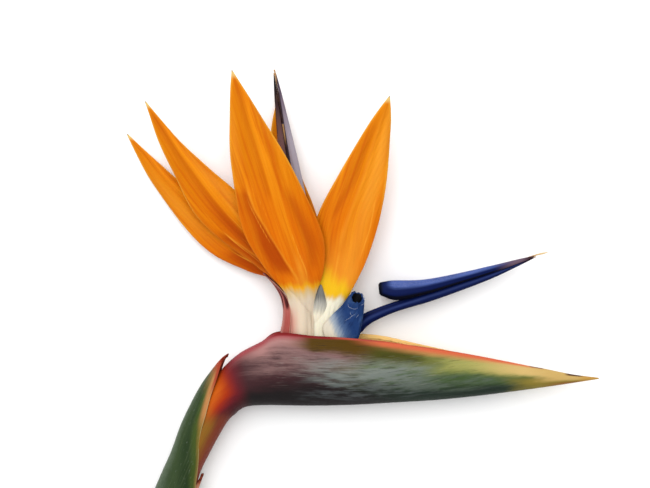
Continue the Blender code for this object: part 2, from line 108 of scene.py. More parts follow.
class Finish:
    """A procedural material that is painted in layers.

    It reads these fields of the mesh: place (across 0 to 1, along 0 to 1, 1 on the inner side),
    grain (millimetres across, millimetres along, side), edge, shade, gleam and, on a sepal,
    foot (millimetres above its cream foot, millimetres that the yellow reaches)."""

    def __init__(self, name, base, roughness=0.5, specular=0.4, subsurface=0.0, glow=(1, 0.4, 0.1)):
        self.material = bpy.data.materials.new(name)
        self.material.use_nodes = True
        self.tree = self.material.node_tree
        self.shader = self.tree.nodes["Principled BSDF"]
        self.shader.inputs["Specular IOR Level"].default_value = specular
        self.shader.inputs["Subsurface Weight"].default_value = subsurface
        self.shader.inputs["Subsurface Radius"].default_value = glow
        self.shader.inputs["Subsurface Scale"].default_value = 0.002
        self.roughness = roughness
        self.colour = base
        self.normal = None
        self.across, self.along, self.side = self.split(self.field("place"))
        self.grain = self.field("grain")
        self.across_mm, self.along_mm, _ = self.split(self.grain)

    def node(self, kind, inputs=(), **settings):
        node = self.tree.nodes.new("ShaderNode" + kind)
        for key, value in settings.items():
            setattr(node, key, value)
        for key, value in dict(inputs).items():
            if isinstance(value, bpy.types.NodeSocket):
                self.tree.links.new(value, node.inputs[key])
            else:
                node.inputs[key].default_value = value
        return node

    def field(self, name):
        return self.node("Attribute", attribute_name=name).outputs["Vector"]

    def number(self, name):
        return self.node("Attribute", attribute_name=name).outputs["Fac"]

    def split(self, vector):
        return list(self.node("SeparateXYZ", {"Vector": vector}).outputs)

    def ease(self, value, start, end, low=0.0, high=1.0):
        """From low at `start` to high at `end`, smoothly."""
        inputs = {"Value": value, "From Min": start, "From Max": end, "To Min": low, "To Max": high}
        return self.node("MapRange", inputs, interpolation_type="SMOOTHSTEP").outputs["Result"]

    def band(self, value, low, high, soft):
        return self.both(self.ease(value, low - soft, low + soft),
                         self.ease(value, high + soft, high - soft))

    def maths(self, operation, first, second):
        return self.node("Math", {0: first, 1: second}, operation=operation).outputs[0]

    def both(self, first, *others):
        for other in others:
            first = self.maths("MULTIPLY", first, other)
        return first

    def noise(self, across, along, seed, detail=3.0, rough=0.55):
        """Noise with so many waves to a millimetre across and along the piece."""
        vector = self.node("VectorMath", {0: self.grain, 1: (across, along, across)},
                           operation="MULTIPLY").outputs["Vector"]
        inputs = {"Vector": vector, "W": seed, "Scale": 1.0, "Detail": detail, "Roughness": rough}
        return self.node("TexNoise", inputs, noise_dimensions="4D").outputs["Fac"]

    def lean(self, noise, reach):
        """A noise round 0, `reach` times as strong."""
        return self.both(self.maths("SUBTRACT", noise, 0.5), reach)

    def layer(self, paint, *masks):
        """A coat of paint where all of the masks let it through."""
        mask = self.both(*masks)
        mix = self.node("Mix", data_type="RGBA")
        for socket, value in ((mix.inputs[0], mask), (mix.inputs[6], self.colour),
                              (mix.inputs[7], paint)):
            if isinstance(value, bpy.types.NodeSocket):
                self.tree.links.new(value, socket)
            else:
                socket.default_value = value
        self.colour = mix.outputs[2]

    def rise(self, height, millimetres):
        """Relief in the shading: this height stands so many millimetres proud."""
        inputs = {"Height": height, "Strength": 1.0, "Distance": millimetres * MM}
        bump = self.node("Bump", inputs)
        if self.normal:
            self.tree.links.new(self.normal, bump.inputs["Normal"])
        self.normal = bump.outputs["Normal"]

    def done(self):
        uneven = self.noise(0.9, 0.5, 91.0)
        rough = self.ease(uneven, 0.2, 0.8, self.roughness - 0.08, self.roughness + 0.1)
        self.tree.links.new(self.colour, self.shader.inputs["Base Color"])
        self.tree.links.new(rough, self.shader.inputs["Roughness"])
        if self.normal:
            self.tree.links.new(self.normal, self.shader.inputs["Normal"])
        return self.material


# ---------------------------------------------------------------- meshes

def read_table(table, steps=24):
    """The table's rows on a Catmull-Rom curve, with `steps` between each two."""
    knots = np.array([table[0], *table, table[-1]], float)
    t = np.linspace(0, 1, steps, endpoint=False)[:, None]
    spans = [0.5 * (2 * q + (r - p) * t + (2 * p - 5 * q + 4 * r - s) * t ** 2
                    + (3 * q - p - 3 * r + s) * t ** 3)
             for p, q, r, s in zip(knots, knots[1:], knots[2:], knots[3:])]
    return np.vstack([*spans, knots[-1:]])


def lengths(points):
    """The distance along a line of points, at each of them."""
    steps = np.linalg.norm(np.diff(points, axis=0), axis=1)
    return np.concatenate([[0.0], np.cumsum(steps)])


def even_rows(table, count, middle):
    """The table at `count` even distances along the line of the rows' middles, and its length."""
    fine = read_table(table)
    run = lengths(middle(fine))
    wanted = np.linspace(0, run[-1], count)
    columns = [np.interp(wanted, run, column) for column in fine.T]
    return np.array(columns).T, run[-1]


def across_steps(columns):
    """Places from 0 to 1 that crowd toward both margins."""
    t = np.linspace(0, 1, columns)
    return 0.6 * t + 0.4 * (0.5 - 0.5 * np.cos(math.pi * t))


def unit(vectors):
    """The vectors at length 1."""
    return vectors / np.maximum(np.linalg.norm(vectors, axis=-1, keepdims=True), 1e-9)


def normals(points):
    """The directions square to a grid of points."""
    return unit(np.cross(np.gradient(points, axis=1), np.gradient(points, axis=0)))


def grid_faces(rows, columns, closed):
    """The four-cornered faces of a grid, which closes on itself across where asked."""
    index = np.arange(rows * columns).reshape(rows, columns)
    if closed:
        index = np.hstack([index, index[:, :1]])
    corners = (index[:-1, :-1], index[:-1, 1:], index[1:, 1:], index[1:, :-1])
    return np.stack(corners, axis=-1).reshape(-1, 4)


def make_mesh(name, points, faces, fields, material):
    mesh = bpy.data.meshes.new(name)
    placed = points + THROAT
    placed[:, 2] = np.maximum(placed[:, 2], SURFACE)
    mesh.from_pydata((placed * MM).tolist(), [], faces)
    for field, values in fields.items():
        kind, key = ("FLOAT_VECTOR", "vector") if values.ndim == 2 else ("FLOAT", "value")
        attribute = mesh.attributes.new(field, kind, "POINT")
        attribute.data.foreach_set(key, values.astype(np.float32).ravel())
    mesh.materials.append(material)
    mesh.shade_smooth()
    return mesh


def add_piece(name, mesh, slot, *nodes):
    """A piece in the scene that stands for these nodes."""
    piece = bpy.data.objects.new(name, mesh)
    bpy.context.scene.collection.objects.link(piece)
    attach(piece, "root")
    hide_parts(*nodes)
    return piece


def sheet_mesh(name, front, back, v, material, shade=0.0, gleam=0.0, foot=(0.0, 0.0)):
    """A closed leaf between its front and back points, which are grids of rows from its foot
    to its tip."""
    rows, columns = front.shape[:2]
    ring = np.concatenate([front, back[:, ::-1]], axis=1)
    faces = grid_faces(rows, 2 * columns, closed=True).tolist()
    for k in range(columns - 1):
        low, high = k, 2 * columns - 1 - k
        top = (rows - 1) * 2 * columns
        faces.append([low, high, high - 1, low + 1])
        faces.append([top + low, top + low + 1, top + high - 1, top + high])
    widths = np.array([lengths(row) for row in front])
    u = widths / np.maximum(widths[:, -1:], 1e-6)
    along = np.broadcast_to(lengths(front[:, columns // 2])[:, None], u.shape)
    middle = widths - widths[:, -1:] / 2
    edge = np.minimum(widths, widths[:, -1:] - widths)
    v = np.broadcast_to(v[:, None], u.shape)
    zero = np.zeros_like(u)

    def both_sides(values, other=None):
        other = values if other is None else other
        return np.concatenate([values, other[:, ::-1]], axis=1).ravel()

    fields = {
        "place": np.stack([both_sides(u), both_sides(v), both_sides(zero, zero + 1)], axis=1),
        "grain": np.stack([both_sides(middle), both_sides(along), both_sides(zero, zero + 1)],
                          axis=1),
        "edge": both_sides(edge),
        "shade": both_sides(np.clip(zero + shade, 0, 1)),
        "gleam": both_sides(np.clip(zero + gleam, 0, 1)),
        "foot": np.stack([both_sides(zero + foot[0]), both_sides(zero + foot[1]), both_sides(zero)],
                         axis=1),
    }
    return make_mesh(name, ring.reshape(-1, 3), faces, fields, material)


def faces_in(rings):
    """Whether a tube's faces would point inward."""
    centres = rings.mean(axis=1, keepdims=True)
    return (normals(rings) * (rings - centres)).sum() < 0


def tube_mesh(name, rings, material, part=0.0, shade=0.0, gleam=0.0, edge=0.0):
    """A closed tube through rings of points, with a point in the middle of each end."""
    rows, columns = rings.shape[:2]
    part, shade, gleam, edge = [np.broadcast_to(np.asarray(field, float), (rows, columns))
                                for field in (part, shade, gleam, edge)]
    if faces_in(rings):
        rings, part, shade, gleam, edge = [field[:, ::-1]
                                           for field in (rings, part, shade, gleam, edge)]
    faces = grid_faces(rows, columns, closed=True).tolist()
    first, last = rows * columns, rows * columns + 1
    top = (rows - 1) * columns
    for k in range(columns):
        after = (k + 1) % columns
        faces.append([first, after, k])
        faces.append([last, top + k, top + after])
    centres = rings.mean(axis=1)
    run = lengths(centres)
    girth = np.linalg.norm(rings - centres[:, None], axis=2).mean(axis=1, keepdims=True)
    angle = 2 * math.pi * np.arange(columns) / columns
    along = np.broadcast_to(run[:, None], (rows, columns))
    around = np.broadcast_to(np.arange(columns) / columns, (rows, columns))

    def with_ends(values):
        return np.concatenate([values.ravel(), values[[0, -1]].mean(axis=1)])

    fields = {
        "place": np.stack([with_ends(around), with_ends(along / run[-1]), with_ends(part)], axis=1),
        "grain": np.stack([with_ends(girth * np.cos(angle)), with_ends(along),
                           with_ends(girth * np.sin(angle))], axis=1),
        "edge": with_ends(edge),
        "shade": with_ends(shade),
        "gleam": with_ends(gleam),
    }
    points = np.vstack([rings.reshape(-1, 3), centres[[0, -1]]])
    return make_mesh(name, points, faces, fields, material)


def joined(name, meshes):
    """One mesh from closed meshes that reach into each other."""
    pieces = [bpy.data.objects.new(name + str(k), mesh) for k, mesh in enumerate(meshes)]
    for piece in pieces:
        bpy.context.scene.collection.objects.link(piece)
    with bpy.context.temp_override(active_object=pieces[0], selected_editable_objects=pieces):
        bpy.ops.object.join()
    mesh = pieces[0].data
    mesh.name = name
    bpy.data.objects.remove(pieces[0])
    return mesh


# ---------------------------------------------------------------- wrapped leaves

def ripple(u, v, waves, seed):
    """A gentle unevenness from -1 to 1 that repeats at no short distance."""
    across, along = waves
    total = np.zeros(np.broadcast(u, v).shape)
    for k in range(1, 5):
        phase = seed * 1.7 + k * 2.3
        total = total + np.sin(across * k * u + 1.9 * math.sin(phase) * v + phase) \
            * np.cos(along * k * 0.8 * v + phase * 1.3) / k
    return total / 2


def flat(places):
    """Rows of x, y as points at height 0."""
    return np.pad(places, ((0, 0), (0, 1)))[:, None]


def wrap_points(values, w):
    """Points round a stem. Each row: start x, y, opposite x, y, middle z, half width, and
    the degrees it reaches round above and below the start."""
    start = flat(values[:, 0:2])
    opposite = flat(values[:, 2:4])
    above = np.radians(np.minimum(values[:, 6], HALF_ROUND))[:, None]
    below = np.radians(np.minimum(values[:, 7], HALF_ROUND))[:, None]
    angle = above - (above + below) * w
    points = (start + opposite) / 2 + (start - opposite) / 2 * np.cos(angle)[..., None]
    points[..., 2] = values[:, 4:5] + values[:, 5:6] * np.sin(angle)
    return points


def outward(points, centre):
    """The surface's normals, turned away from the centre line."""
    result = normals(points)
    away = (result * (points - centre)).sum()
    return result if away > 0 else -result


def wall_taper(points, wall, reach=1.6):
    """A wall that thins toward both margins."""
    widths = np.array([lengths(row) for row in points])
    edge = np.minimum(widths, widths[:, -1:] - widths)
    return MARGIN_WALL + (wall - MARGIN_WALL) * np.sqrt(np.clip(edge / reach, 0, 1))


def wrap_mesh(name, table, wall, material, rows, columns, relief, shade=None, gleam=None,
              shape=None):
    """A leaf wrapped round what it holds, with the wall inside its outline."""
    values, _ = even_rows(table, rows, lambda t: (t[:, 0:2] + t[:, 2:4]) / 2)
    v = np.linspace(0, 1, rows)
    w = across_steps(columns)[None, :]
    points = wrap_points(values, w)
    centre = flat((values[:, 0:2] + values[:, 2:4]) / 2)
    out = outward(points, centre)
    points = points + out * relief(w, v[:, None])[..., None]
    thick = wall_taper(points, wall)
    back = points - outward(points, centre) * thick[..., None]
    if shape:
        points, back = [shape(side, w, v[:, None]) for side in (points, back)]
    dark = shade(w, v[:, None]) if shade else 0.0
    light = gleam(w, v[:, None]) if gleam else 0.0
    if (normals(points) * out).sum() < 0:
        points, back = points[:, ::-1], back[:, ::-1]
        dark = dark[:, ::-1] if shade else 0.0
        light = light[:, ::-1] if gleam else 0.0
    return sheet_mesh(name, points, back, v, material, dark, light)


# ---------------------------------------------------------------- the spathe

# rim x, rim y, keel x, keel y, middle z, half width, width of the slot, far rim's rise
SPATHE = (
    (-70.8, -75.4, -58.9, -80.7, -0.65, 6.6, 0, 0),
    (-65.3, -62.5, -52.4, -68.3, -0.25, 7.0, 0, 0),
    (-61.4, -53.3, -49.0, -58.8, 0, 7.3, 0, 0),
    (-52.1, -33.2, -39.2, -40.7, 0, 7.6, 0, 0),
    (-46.4, -23.2, -34.8, -35.7, 0, 8.0, 0, 0),
    (-39.8, -14.6, -31.2, -32.9, 0, 8.8, 0, 0),
    (-32.2, -8.0, -26.8, -31.8, 0, 9.6, 0, 0),
    (-23.0, -3.2, -19.6, -31.5, 0, 10.4, 0, 0),
    (-15.4, 1.2, -10.0, -31.5, 0, 11.0, 15, 0),
    (0.0, -0.1, 5.6, -31.5, 0, 11.5, 16.8, 0.5),
    (14.0, -0.9, 18.4, -31.3, 0, 11.5, 17, 1.4),
    (30.6, -2.4, 34.2, -30.6, 0, 10.8, 12.5, 2.0),
    (48.6, -5.1, 51.8, -29.5, 0, 9.4, 7, 0.8),
    (69.3, -8.3, 72.0, -27.7, 0, 7.4, 4, -0.5),
    (86.9, -11.7, 88.7, -25.7, 0, 5.6, 2.4, -0.5),
    (102.6, -14.9, 104.0, -23.6, 0, 3.6, 1.5, 0),
    (116.0, -17.6, 116.6, -21.7, 0, 2.2, 1.0, 0),
    (129.0, -19.2, 129.0, -19.8, 0, 0.9, 0.6, 0),
)

# Where the spathe is open, in millimetres from its foot on the stalk
MOUTH_START = 84
MOUTH_END = 226
DENTS_END = 232


def spathe_finish():
    """Level runs from 0 at the keel to 1 at the rims, far from 0 at the keel to 1 at the far rim,
    and run is in millimetres from the foot on the stalk to the beak's tip. 100 mm is about at
    the throat."""
    finish = Finish("spathe_skin", colour(94, 112, 54), 0.5, 0.07, 0.01)
    paint, ease, band = finish.layer, finish.ease, finish.band
    level = finish.number("shade")
    run, far, _ = finish.split(finish.field("foot"))
    blotch = finish.noise(0.14, 0.040, 3.0, 4.0, 0.6)
    mottle = finish.noise(0.40, 0.062, 5.0, 5.0, 0.62)
    streak = finish.noise(1.7, 0.10, 8.0, 3.0, 0.62)
    thread = finish.noise(3.2, 0.03, 11.0, 2.0, 0.5)
    stray = finish.maths("ADD", finish.lean(blotch, 1.2), finish.lean(mottle, 0.5))
    drift = finish.maths("ADD", level, finish.both(stray, 0.26))
    wander = finish.maths("ADD", run, finish.both(stray, 22.0))
    edge = finish.maths("ADD", level, finish.both(stray, 0.035))
    # green on the beak's half: yellower above, dark below and slate along the keel, the dark partly its
    # own colour and partly painted shade on the underside
    paint(colour(178, 174, 98), ease(wander, 132, 180), ease(drift, 0.44, 0.76))
    paint(colour(66, 90, 42), ease(drift, 0.62, 0.42), ease(run, 222, 204))
    paint(colour(38, 52, 42), ease(drift, 0.40, 0.16), ease(run, 208, 180))
    # dark olive under the rim, browner by the throat
    paint(colour(76, 76, 22), band(wander, 92, 152, 14), band(drift, 0.66, 0.98, 0.07))
    paint(colour(100, 68, 8), band(run, 90, 124, 8), band(level, 0.80, 0.99, 0.05))
    # maroon on the near half, nearly black below, partly its own colour and partly painted shade on the
    # underside, and mauve above
    paint(colour(134, 84, 84), ease(run, 98, 86))
    paint(colour(70, 40, 44), ease(wander, 130, 98), ease(drift, 0.93, 0.78))
    paint(colour(34, 30, 31), ease(wander, 146, 116), ease(drift, 0.44, 0.16))
    paint(colour(140, 106, 104), band(wander, 74, 122, 9), band(drift, 0.50, 0.86, 0.10),
          ease(mottle, 0.34, 0.56, 0.4, 1.0))
    paint(colour(88, 62, 4), band(run, 91, 126, 7), band(drift, 0.80, 1.2, 0.06),
          ease(mottle, 0.2, 0.5, 0.7, 1.0))
    # grey bloom in clouds
    paint(colour(86, 91, 92), band(wander, 98, 152, 10), band(drift, 0.12, 0.42, 0.08),
          ease(mottle, 0.42, 0.58, 0.0, 0.85))
    paint(colour(132, 139, 133), band(wander, 100, 152, 13), band(drift, 0.34, 0.66, 0.10),
          ease(mottle, 0.34, 0.58, 0.25, 0.95))
    paint(colour(100, 112, 100), band(wander, 132, 190, 14), band(drift, 0.20, 0.52, 0.10),
          ease(mottle, 0.40, 0.62, 0.10, 0.70))
    # fine dark and pale streaks
    paint(colour(40, 31, 31), band(run, 70, 176, 12), band(level, 0.08, 0.92, 0.06),
          ease(streak, 0.54, 0.66, 0.0, 0.6), ease(blotch, 0.30, 0.52, 0.35, 1.0))
    paint(colour(170, 166, 156), band(run, 84, 168, 14), band(level, 0.30, 0.80, 0.10),
          ease(streak, 0.44, 0.32, 0.0, 0.36))
    # salmon rim with a paler border under it
    paint(colour(206, 142, 84), band(run, 138, 206, 16), ease(edge, 0.81, 0.92, 0.0, 0.92))
    paint(colour(224, 190, 120), ease(run, 168, 196), ease(drift, 0.50, 0.70))
    paint(colour(228, 108, 72), band(run, 125, 201, 9), ease(edge, 0.885, 0.965))
    paint(colour(196, 60, 42), band(run, 152, 202, 8), ease(level, 0.966, 0.990, 0.0, 0.8))
    paint(colour(192, 82, 68), band(run, 94, 132, 7), ease(level, 0.955, 0.985))
    # pink shoulder with a dark red edge that folds in at the throat
    paint(colour(190, 140, 136), band(run, 73, 96, 6), ease(drift, 0.68, 0.92, 0.0, 0.9))
    paint(colour(170, 66, 74), band(run, 62, 98, 5), ease(level, 0.88, 0.985))
    paint(colour(136, 34, 36), band(run, 84, 112, 4), ease(level, 0.950, 0.972))
    # the neck: red, then orange, on the stalk's olive and brown
    paint(colour(112, 30, 40), ease(run, 71, 62), ease(drift, 0.10, 0.40, 0.35, 1.0))
    paint(colour(176, 50, 10), ease(run, 66, 58), ease(drift, 0.26, 0.54))
    paint(colour(212, 98, 20), band(run, 44, 59, 4), ease(drift, 0.46, 0.74))
    paint(colour(146, 104, 34), ease(run, 52, 40), ease(thread, 0.3, 0.6, 0.7, 1.0))
    paint(colour(134, 58, 42), ease(run, 57, 45), ease(drift, 0.40, 0.12, 0.0, 0.95))
    # the beak dries to tan with a brown keel, and has dark dry bits on its rim
    paint(colour(150, 132, 56), ease(wander, 182, 200), ease(drift, 0.62, 0.36))
    paint(colour(216, 180, 108), ease(wander, 196, 210), ease(drift, 0.18, 0.48))
    paint(colour(160, 108, 48), ease(run, 200, 214), ease(drift, 0.30, 0.08))
    paint(colour(204, 156, 76), ease(run, 217, 224))
    paint(colour(84, 48, 34), band(run, 214, 221, 1.5), ease(level, 0.74, 0.86))
    paint(colour(110, 50, 40), band(run, 198, 204, 1.2), ease(level, 0.92, 0.96))
    # yellow inside, as far as the far rim, and red by the shoulder; the inside and the far rim are
    # painted brighter than their own yellow, as painted light where the walls shade them
    inner = ease(finish.side, 0.4, 0.6)
    paint(colour(288, 262, 180), inner)
    paint(colour(270, 186, 66), inner, ease(wander, 126, 148))
    paint(colour(280, 236, 150), inner, ease(level, 0.92, 1.0, 0.0, 0.6), ease(streak, 0.3, 0.7))
    # painted light on the far rim, which is pale yellow itself
    paint(colour(292, 240, 150), ease(far, 0.80, 0.95), band(run, 100, 176, 5))
    paint(colour(150, 56, 48), inner, ease(run, 104, 95))
    outside = ease(finish.side, 0.6, 0.4)
    finish.rise(finish.both(streak, outside), 0.14)
    finish.rise(thread, 0.10)
    finish.rise(finish.noise(1.4, 1.1, 21.0, 3.0), 0.04)
    return finish.done()


def add_spathe():
    """The boat-shaped bract: a closed tube round the stalk that opens at the throat."""
    rows, columns = 270, 110
    values, length = even_rows(SPATHE, rows, lambda t: (t[:, 0:2] + t[:, 2:4]) / 2)
    rim = flat(values[:, 0:2])
    keel = flat(values[:, 2:4])
    half_width = values[:, 5:6]
    slot = np.clip(values[:, 6:7], 0.25, None)
    margin = math.pi - np.arcsin(np.clip(slot / (2 * half_width), 0, 1))
    height = ((1 - np.cos(margin)) / 2)[..., None]
    apex = keel + (rim - keel) / height
    w = across_steps(columns)[None, :]
    angle = margin * (1 - 2 * w)
    centre = (keel + apex) / 2
    points = centre + (keel - apex) / 2 * np.cos(angle)[..., None]
    points[..., 2] = values[:, 4:5] + half_width * np.sin(angle)
    points[..., 1] += values[:, 7:8] * np.clip(2 * w - 1, 0, 1) ** 2
    level = (1 - np.cos(angle)) / (1 - np.cos(margin))
    far = np.clip(2 * w - 1, 0, 1) + 0 * angle

    v = np.linspace(0, 1, rows)[:, None]
    run = v * length
    out = outward(points, centre)
    widths = np.array([lengths(row) for row in points])
    edge = np.minimum(widths, widths[:, -1:] - widths)
    open_part = np.clip((run - MOUTH_START) / 12, 0, 1) * np.clip((MOUTH_END - run) / 14, 0, 1)
    lip = 0.45 * np.exp(-((edge - 1.1) / 0.9) ** 2) * open_part
    dents = 0.28 * ripple(w * 6.0, v * 9.0, (2.2, 1.0), 3.0)
    dents = dents * np.clip((DENTS_END - run) / 60, 0, 1)
    ribs = 0.05 * np.sin(widths * 3.4 + 2.0 * np.sin(run / 17))
    ribs = ribs * np.clip((MOUTH_END - run) / 40, 0, 1)
    points = points + out * (lip + dents + ribs)[..., None]
    thick = wall_taper(points, SPATHE_WALL, 1.2) + 0.5 * lip
    thick = np.minimum(thick, half_width * 0.5)
    back = points - outward(points, centre) * thick[..., None]
    if (normals(points) * out).sum() < 0:
        points, back, level, far = [grid[:, ::-1] for grid in (points, back, level, far)]
    mesh = sheet_mesh("spathe_skin", points, back, v[:, 0], spathe_finish(), shade=level,
                      foot=(run, far))
    add_piece("spathe_skin", mesh, "spathe", "spathe")


# ---------------------------------------------------------------- sheaths and bract

def stem_row(run, start, opposite, half_width, reach):
    """A row at a distance along the straight stem; start and opposite are the distances from
    the stem's middle along STEM_SIDE."""
    middle = STEM_TOP + STEM_RUN * run
    first = middle + STEM_SIDE * start
    second = middle + STEM_SIDE * opposite
    return (first[0], first[1], second[0], second[1], middle[2], half_width, reach, reach)


UPPER_SHEATH = (
    (-38.4, -8.6, -30.0, -24.0, 0, 9.0, 2, 2),
    (-41.2, -10.8, -31.5, -29.0, 0, 9.4, 20, 30),
    (-45.2, -15.8, -34.0, -33.0, 0, 9.4, 50, 56),
    (-49.8, -22.2, -37.0, -36.8, 0, 9.1, 70, 74),
    (-54.2, -30.0, -39.4, -40.4, 0, 8.9, 86, 88),
    (-59.0, -40.0, -43.6, -48.2, 0, 8.8, 102, 104),
    stem_row(0, -9.5, 9.0, 8.8, 126),
    stem_row(9, -9.4, 9.2, 8.9, 146),
    stem_row(18, -9.2, 8.8, 8.7, 180),
    stem_row(32, -8.9, 8.4, 8.3, 180),
    stem_row(52, -8.3, 8.2, 8.2, 180),
    stem_row(70, -8.1, 8.1, 8.1, 180),
)

LOWER_SHEATH = (
    stem_row(3.5, 8.4, -8.4, 9.0, 3),
    stem_row(9, 8.7, -9.2, 9.6, 16),
    stem_row(15, 9.2, -10.0, 10.2, 34),
    stem_row(24, 10.0, -10.4, 10.4, 62),
    stem_row(36, 10.2, -10.5, 10.4, 100),
    stem_row(48, 10.3, -10.4, 10.3, 138),
    stem_row(60, 10.1, -10.1, 10.1, 180),
    stem_row(76, 9.8, -9.8, 9.8, 180),
    stem_row(92, 9.0, -9.0, 9.0, 180),
    stem_row(104, 8.2, -8.2, 8.2, 180),
)

INNER_BRACT = (
    (-14.0, -5.0, 5.0, -5.0, 0, 6.8, 58, 62),
    (-14.2, 1.4, 4.0, 1.0, 0, 6.8, 58, 66),
    (-13.4, 6.0, 3.0, 6.0, 0, 6.8, 58, 66),
    (-13.2, 12.0, 2.5, 12.4, 0, 6.6, 56, 64),
    (-14.6, 17.8, 1.0, 14.0, 0.4, 6.2, 54, 40),
    (-18.0, 23.4, -3.0, 15.0, 1.8, 5.4, 46, 14),
    (-22.0, 27.6, -6.0, 16.0, 3.6, 4.6, 4, 4),
)


def sheath_finish(name, blush, tip):
    """Green with lengthwise veins: grey-green on its back, darker and then olive toward a pale
    margin, and orange toward the dry reddish tip. The tip is at along 0."""
    finish = Finish(name, colour(60, 78, 47), 0.5, 0.07, 0.01)
    paint, ease, band = finish.layer, finish.ease, finish.band
    edge = finish.number("edge")
    patch = finish.noise(0.12, 0.03, 2.0, 4.0)
    streak = finish.noise(1.5, 0.03, 6.0, 4.0, 0.65)
    vein = finish.noise(2.6, 0.012, 9.0, 2.0, 0.5)
    speck = finish.noise(1.2, 0.5, 13.0, 4.0, 0.65)
    paint(colour(44, 62, 36), ease(patch, 0.40, 0.62, 0.0, 0.85))
    paint(colour(98, 114, 92), band(finish.across, 0.36, 0.64, 0.07), ease(speck, 0.3, 0.6, 0.5, 0.9))
    paint(colour(38, 58, 28), band(edge, 4.0, 10.0, 2.4), ease(finish.along_mm, 24, 56, 0.1, 0.8),
          ease(patch, 0.3, 0.5, 0.6, 1.0))
    paint(colour(76, 94, 34), ease(edge, 6.0, 2.6, 0.0, 0.8))
    paint(colour(116, 126, 90), ease(streak, 0.52, 0.72, 0.0, 0.5), ease(speck, 0.3, 0.6, 0.4, 1.0))
    paint(colour(150, 158, 150), ease(speck, 0.58, 0.70, 0.0, 0.3))
    paint(colour(168, 164, 96), ease(finish.side, 0.4, 0.6))
    paint(colour(158, 132, 56), ease(edge, 2.6, 0.6, 0.0, 0.8), ease(streak, 0.25, 0.6, 0.5, 1.0))
    paint(colour(150, 116, 66), ease(edge, 9.0, 4.0, 0.0, 0.8), ease(finish.along_mm, 22, 10))
    paint(colour(212, 144, 88), ease(edge, 3.6, 1.0, 0.0, 0.9), ease(finish.along_mm, 38, 26),
          ease(finish.along_mm, 5, 12))
    paint(blush, ease(edge, 1.8, 0.7), ease(finish.along_mm, 20, 10))
    paint(colour(198, 172, 120), ease(edge, 0.5, 0.2, 0.0, 0.7), ease(finish.along_mm, 12, 24))
    paint(blush, ease(finish.along_mm, 12, 5))
    paint(tip, ease(finish.along_mm, 5.0, 2.0))
    finish.rise(vein, 0.26)
    finish.rise(streak, 0.10)
    finish.rise(finish.noise(1.6, 1.2, 22.0), 0.05)
    return finish.done()


# How far down a torn tip's margin ends and how hard margins press, in millimetres, and the
# rows from which the tip's direction is taken
TEAR_DEPTH = 3.0
MARGIN_PRESS = 1.1
TIP_ROWS = 12


def torn_tip(points, w, v):
    """Tears the tip so that one margin ends lower than the other."""
    close = np.clip(1 - v / 0.07, 0, 1)
    below = points[TIP_ROWS:TIP_ROWS + 1]
    run = unit(points[:1].mean(axis=1) - below.mean(axis=1))[:, None]
    ragged = -TEAR_DEPTH * np.clip((0.42 - w) / 0.14, 0, 1) + 0.12 * np.sin(31 * w)
    return points + run * (close ** 1.5 * ragged)[..., None]


def sheath_relief(w, v):
    """Ribs along the leaf, whose margins press on what it wraps."""
    ribs = 0.07 * np.sin(w * 66 + np.sin(v * 9))
    pressed = np.exp(-(np.minimum(w, 1 - w) / 0.05) ** 2) * np.clip((0.5 - v) / 0.1, 0, 1)
    return ribs - 0.12 - MARGIN_PRESS * pressed + 0.16 * ripple(w * 5, v * 7, (2.2, 1.1), 1.0)


def add_sheaths():
    for place, table, rows, blush, tip in (
            ("upper", UPPER_SHEATH, 200, colour(176, 72, 48), colour(150, 54, 38)),
            ("lower", LOWER_SHEATH, 180, colour(206, 140, 106), colour(176, 84, 62))):
        name = place + "_sheath"
        finish = sheath_finish("sheath_" + place, blush, tip)
        mesh = wrap_mesh(name + "_leaf", table, SHEATH_WALL, finish, rows, 88, sheath_relief,
                         shape=torn_tip)
        add_piece(name + "_leaf", mesh, "sheath", name)


def bract_finish():
    finish = Finish("pink_bract_skin", colour(200, 112, 104), 0.52, 0.06, 0.03, (1, 0.5, 0.35))
    paint, ease = finish.layer, finish.ease
    streak = finish.noise(1.1, 0.10, 4.0, 4.0)
    vein = finish.noise(2.6, 0.04, 7.0, 2.0)
    paint(colour(176, 80, 72), ease(finish.along, 0.74, 0.30), ease(streak, 0.3, 0.65, 0.6, 1.0))
    # painted highlight along the lit band
    paint(colour(222, 160, 146), finish.number("gleam"), ease(streak, 0.2, 0.6, 0.5, 0.8))
    paint(colour(150, 56, 50), ease(vein, 0.5, 0.66, 0.0, 0.5), ease(finish.along, 0.4, 0.6))
    # painted shade in the folds
    paint(colour(84, 28, 28), ease(finish.number("shade"), 0.2, 0.75))
    paint(colour(222, 176, 150), ease(finish.number("edge"), 0.4, 0.15, 0.0, 0.5))
    finish.rise(vein, 0.18)
    finish.rise(streak, 0.08)
    return finish.done()


def add_inner_bract():
    def relief(w, v):
        fold = np.exp(-((w - 0.16) / 0.035) ** 2) + 0.8 * np.exp(-((w - 0.30) / 0.035) ** 2)
        return -0.35 * fold * np.clip((v - 0.5) / 0.2, 0, 1) + 0.12 * ripple(w * 5, v * 5, (2, 1), 2)

    def dark(w, v):
        # painted shade in the folds near the top
        fold = np.exp(-((w - 0.10) / 0.10) ** 2) + 0.9 * np.exp(-((w - 0.33) / 0.05) ** 2)
        return fold * np.clip((v - 0.50) / 0.12, 0, 1)

    def light(w, v):
        # painted highlight along a band of the lower bract
        return 0.8 * np.exp(-((w - 0.34) / 0.10) ** 2) * np.clip((0.74 - v) / 0.2, 0, 1)

    mesh = wrap_mesh("inner_bract_leaf", INNER_BRACT, BRACT_WALL, bract_finish(), 110, 64,
                     relief, dark, light)
    add_piece("inner_bract_leaf", mesh, "pink_bract", "inner_bract")


# ---------------------------------------------------------------- sepals

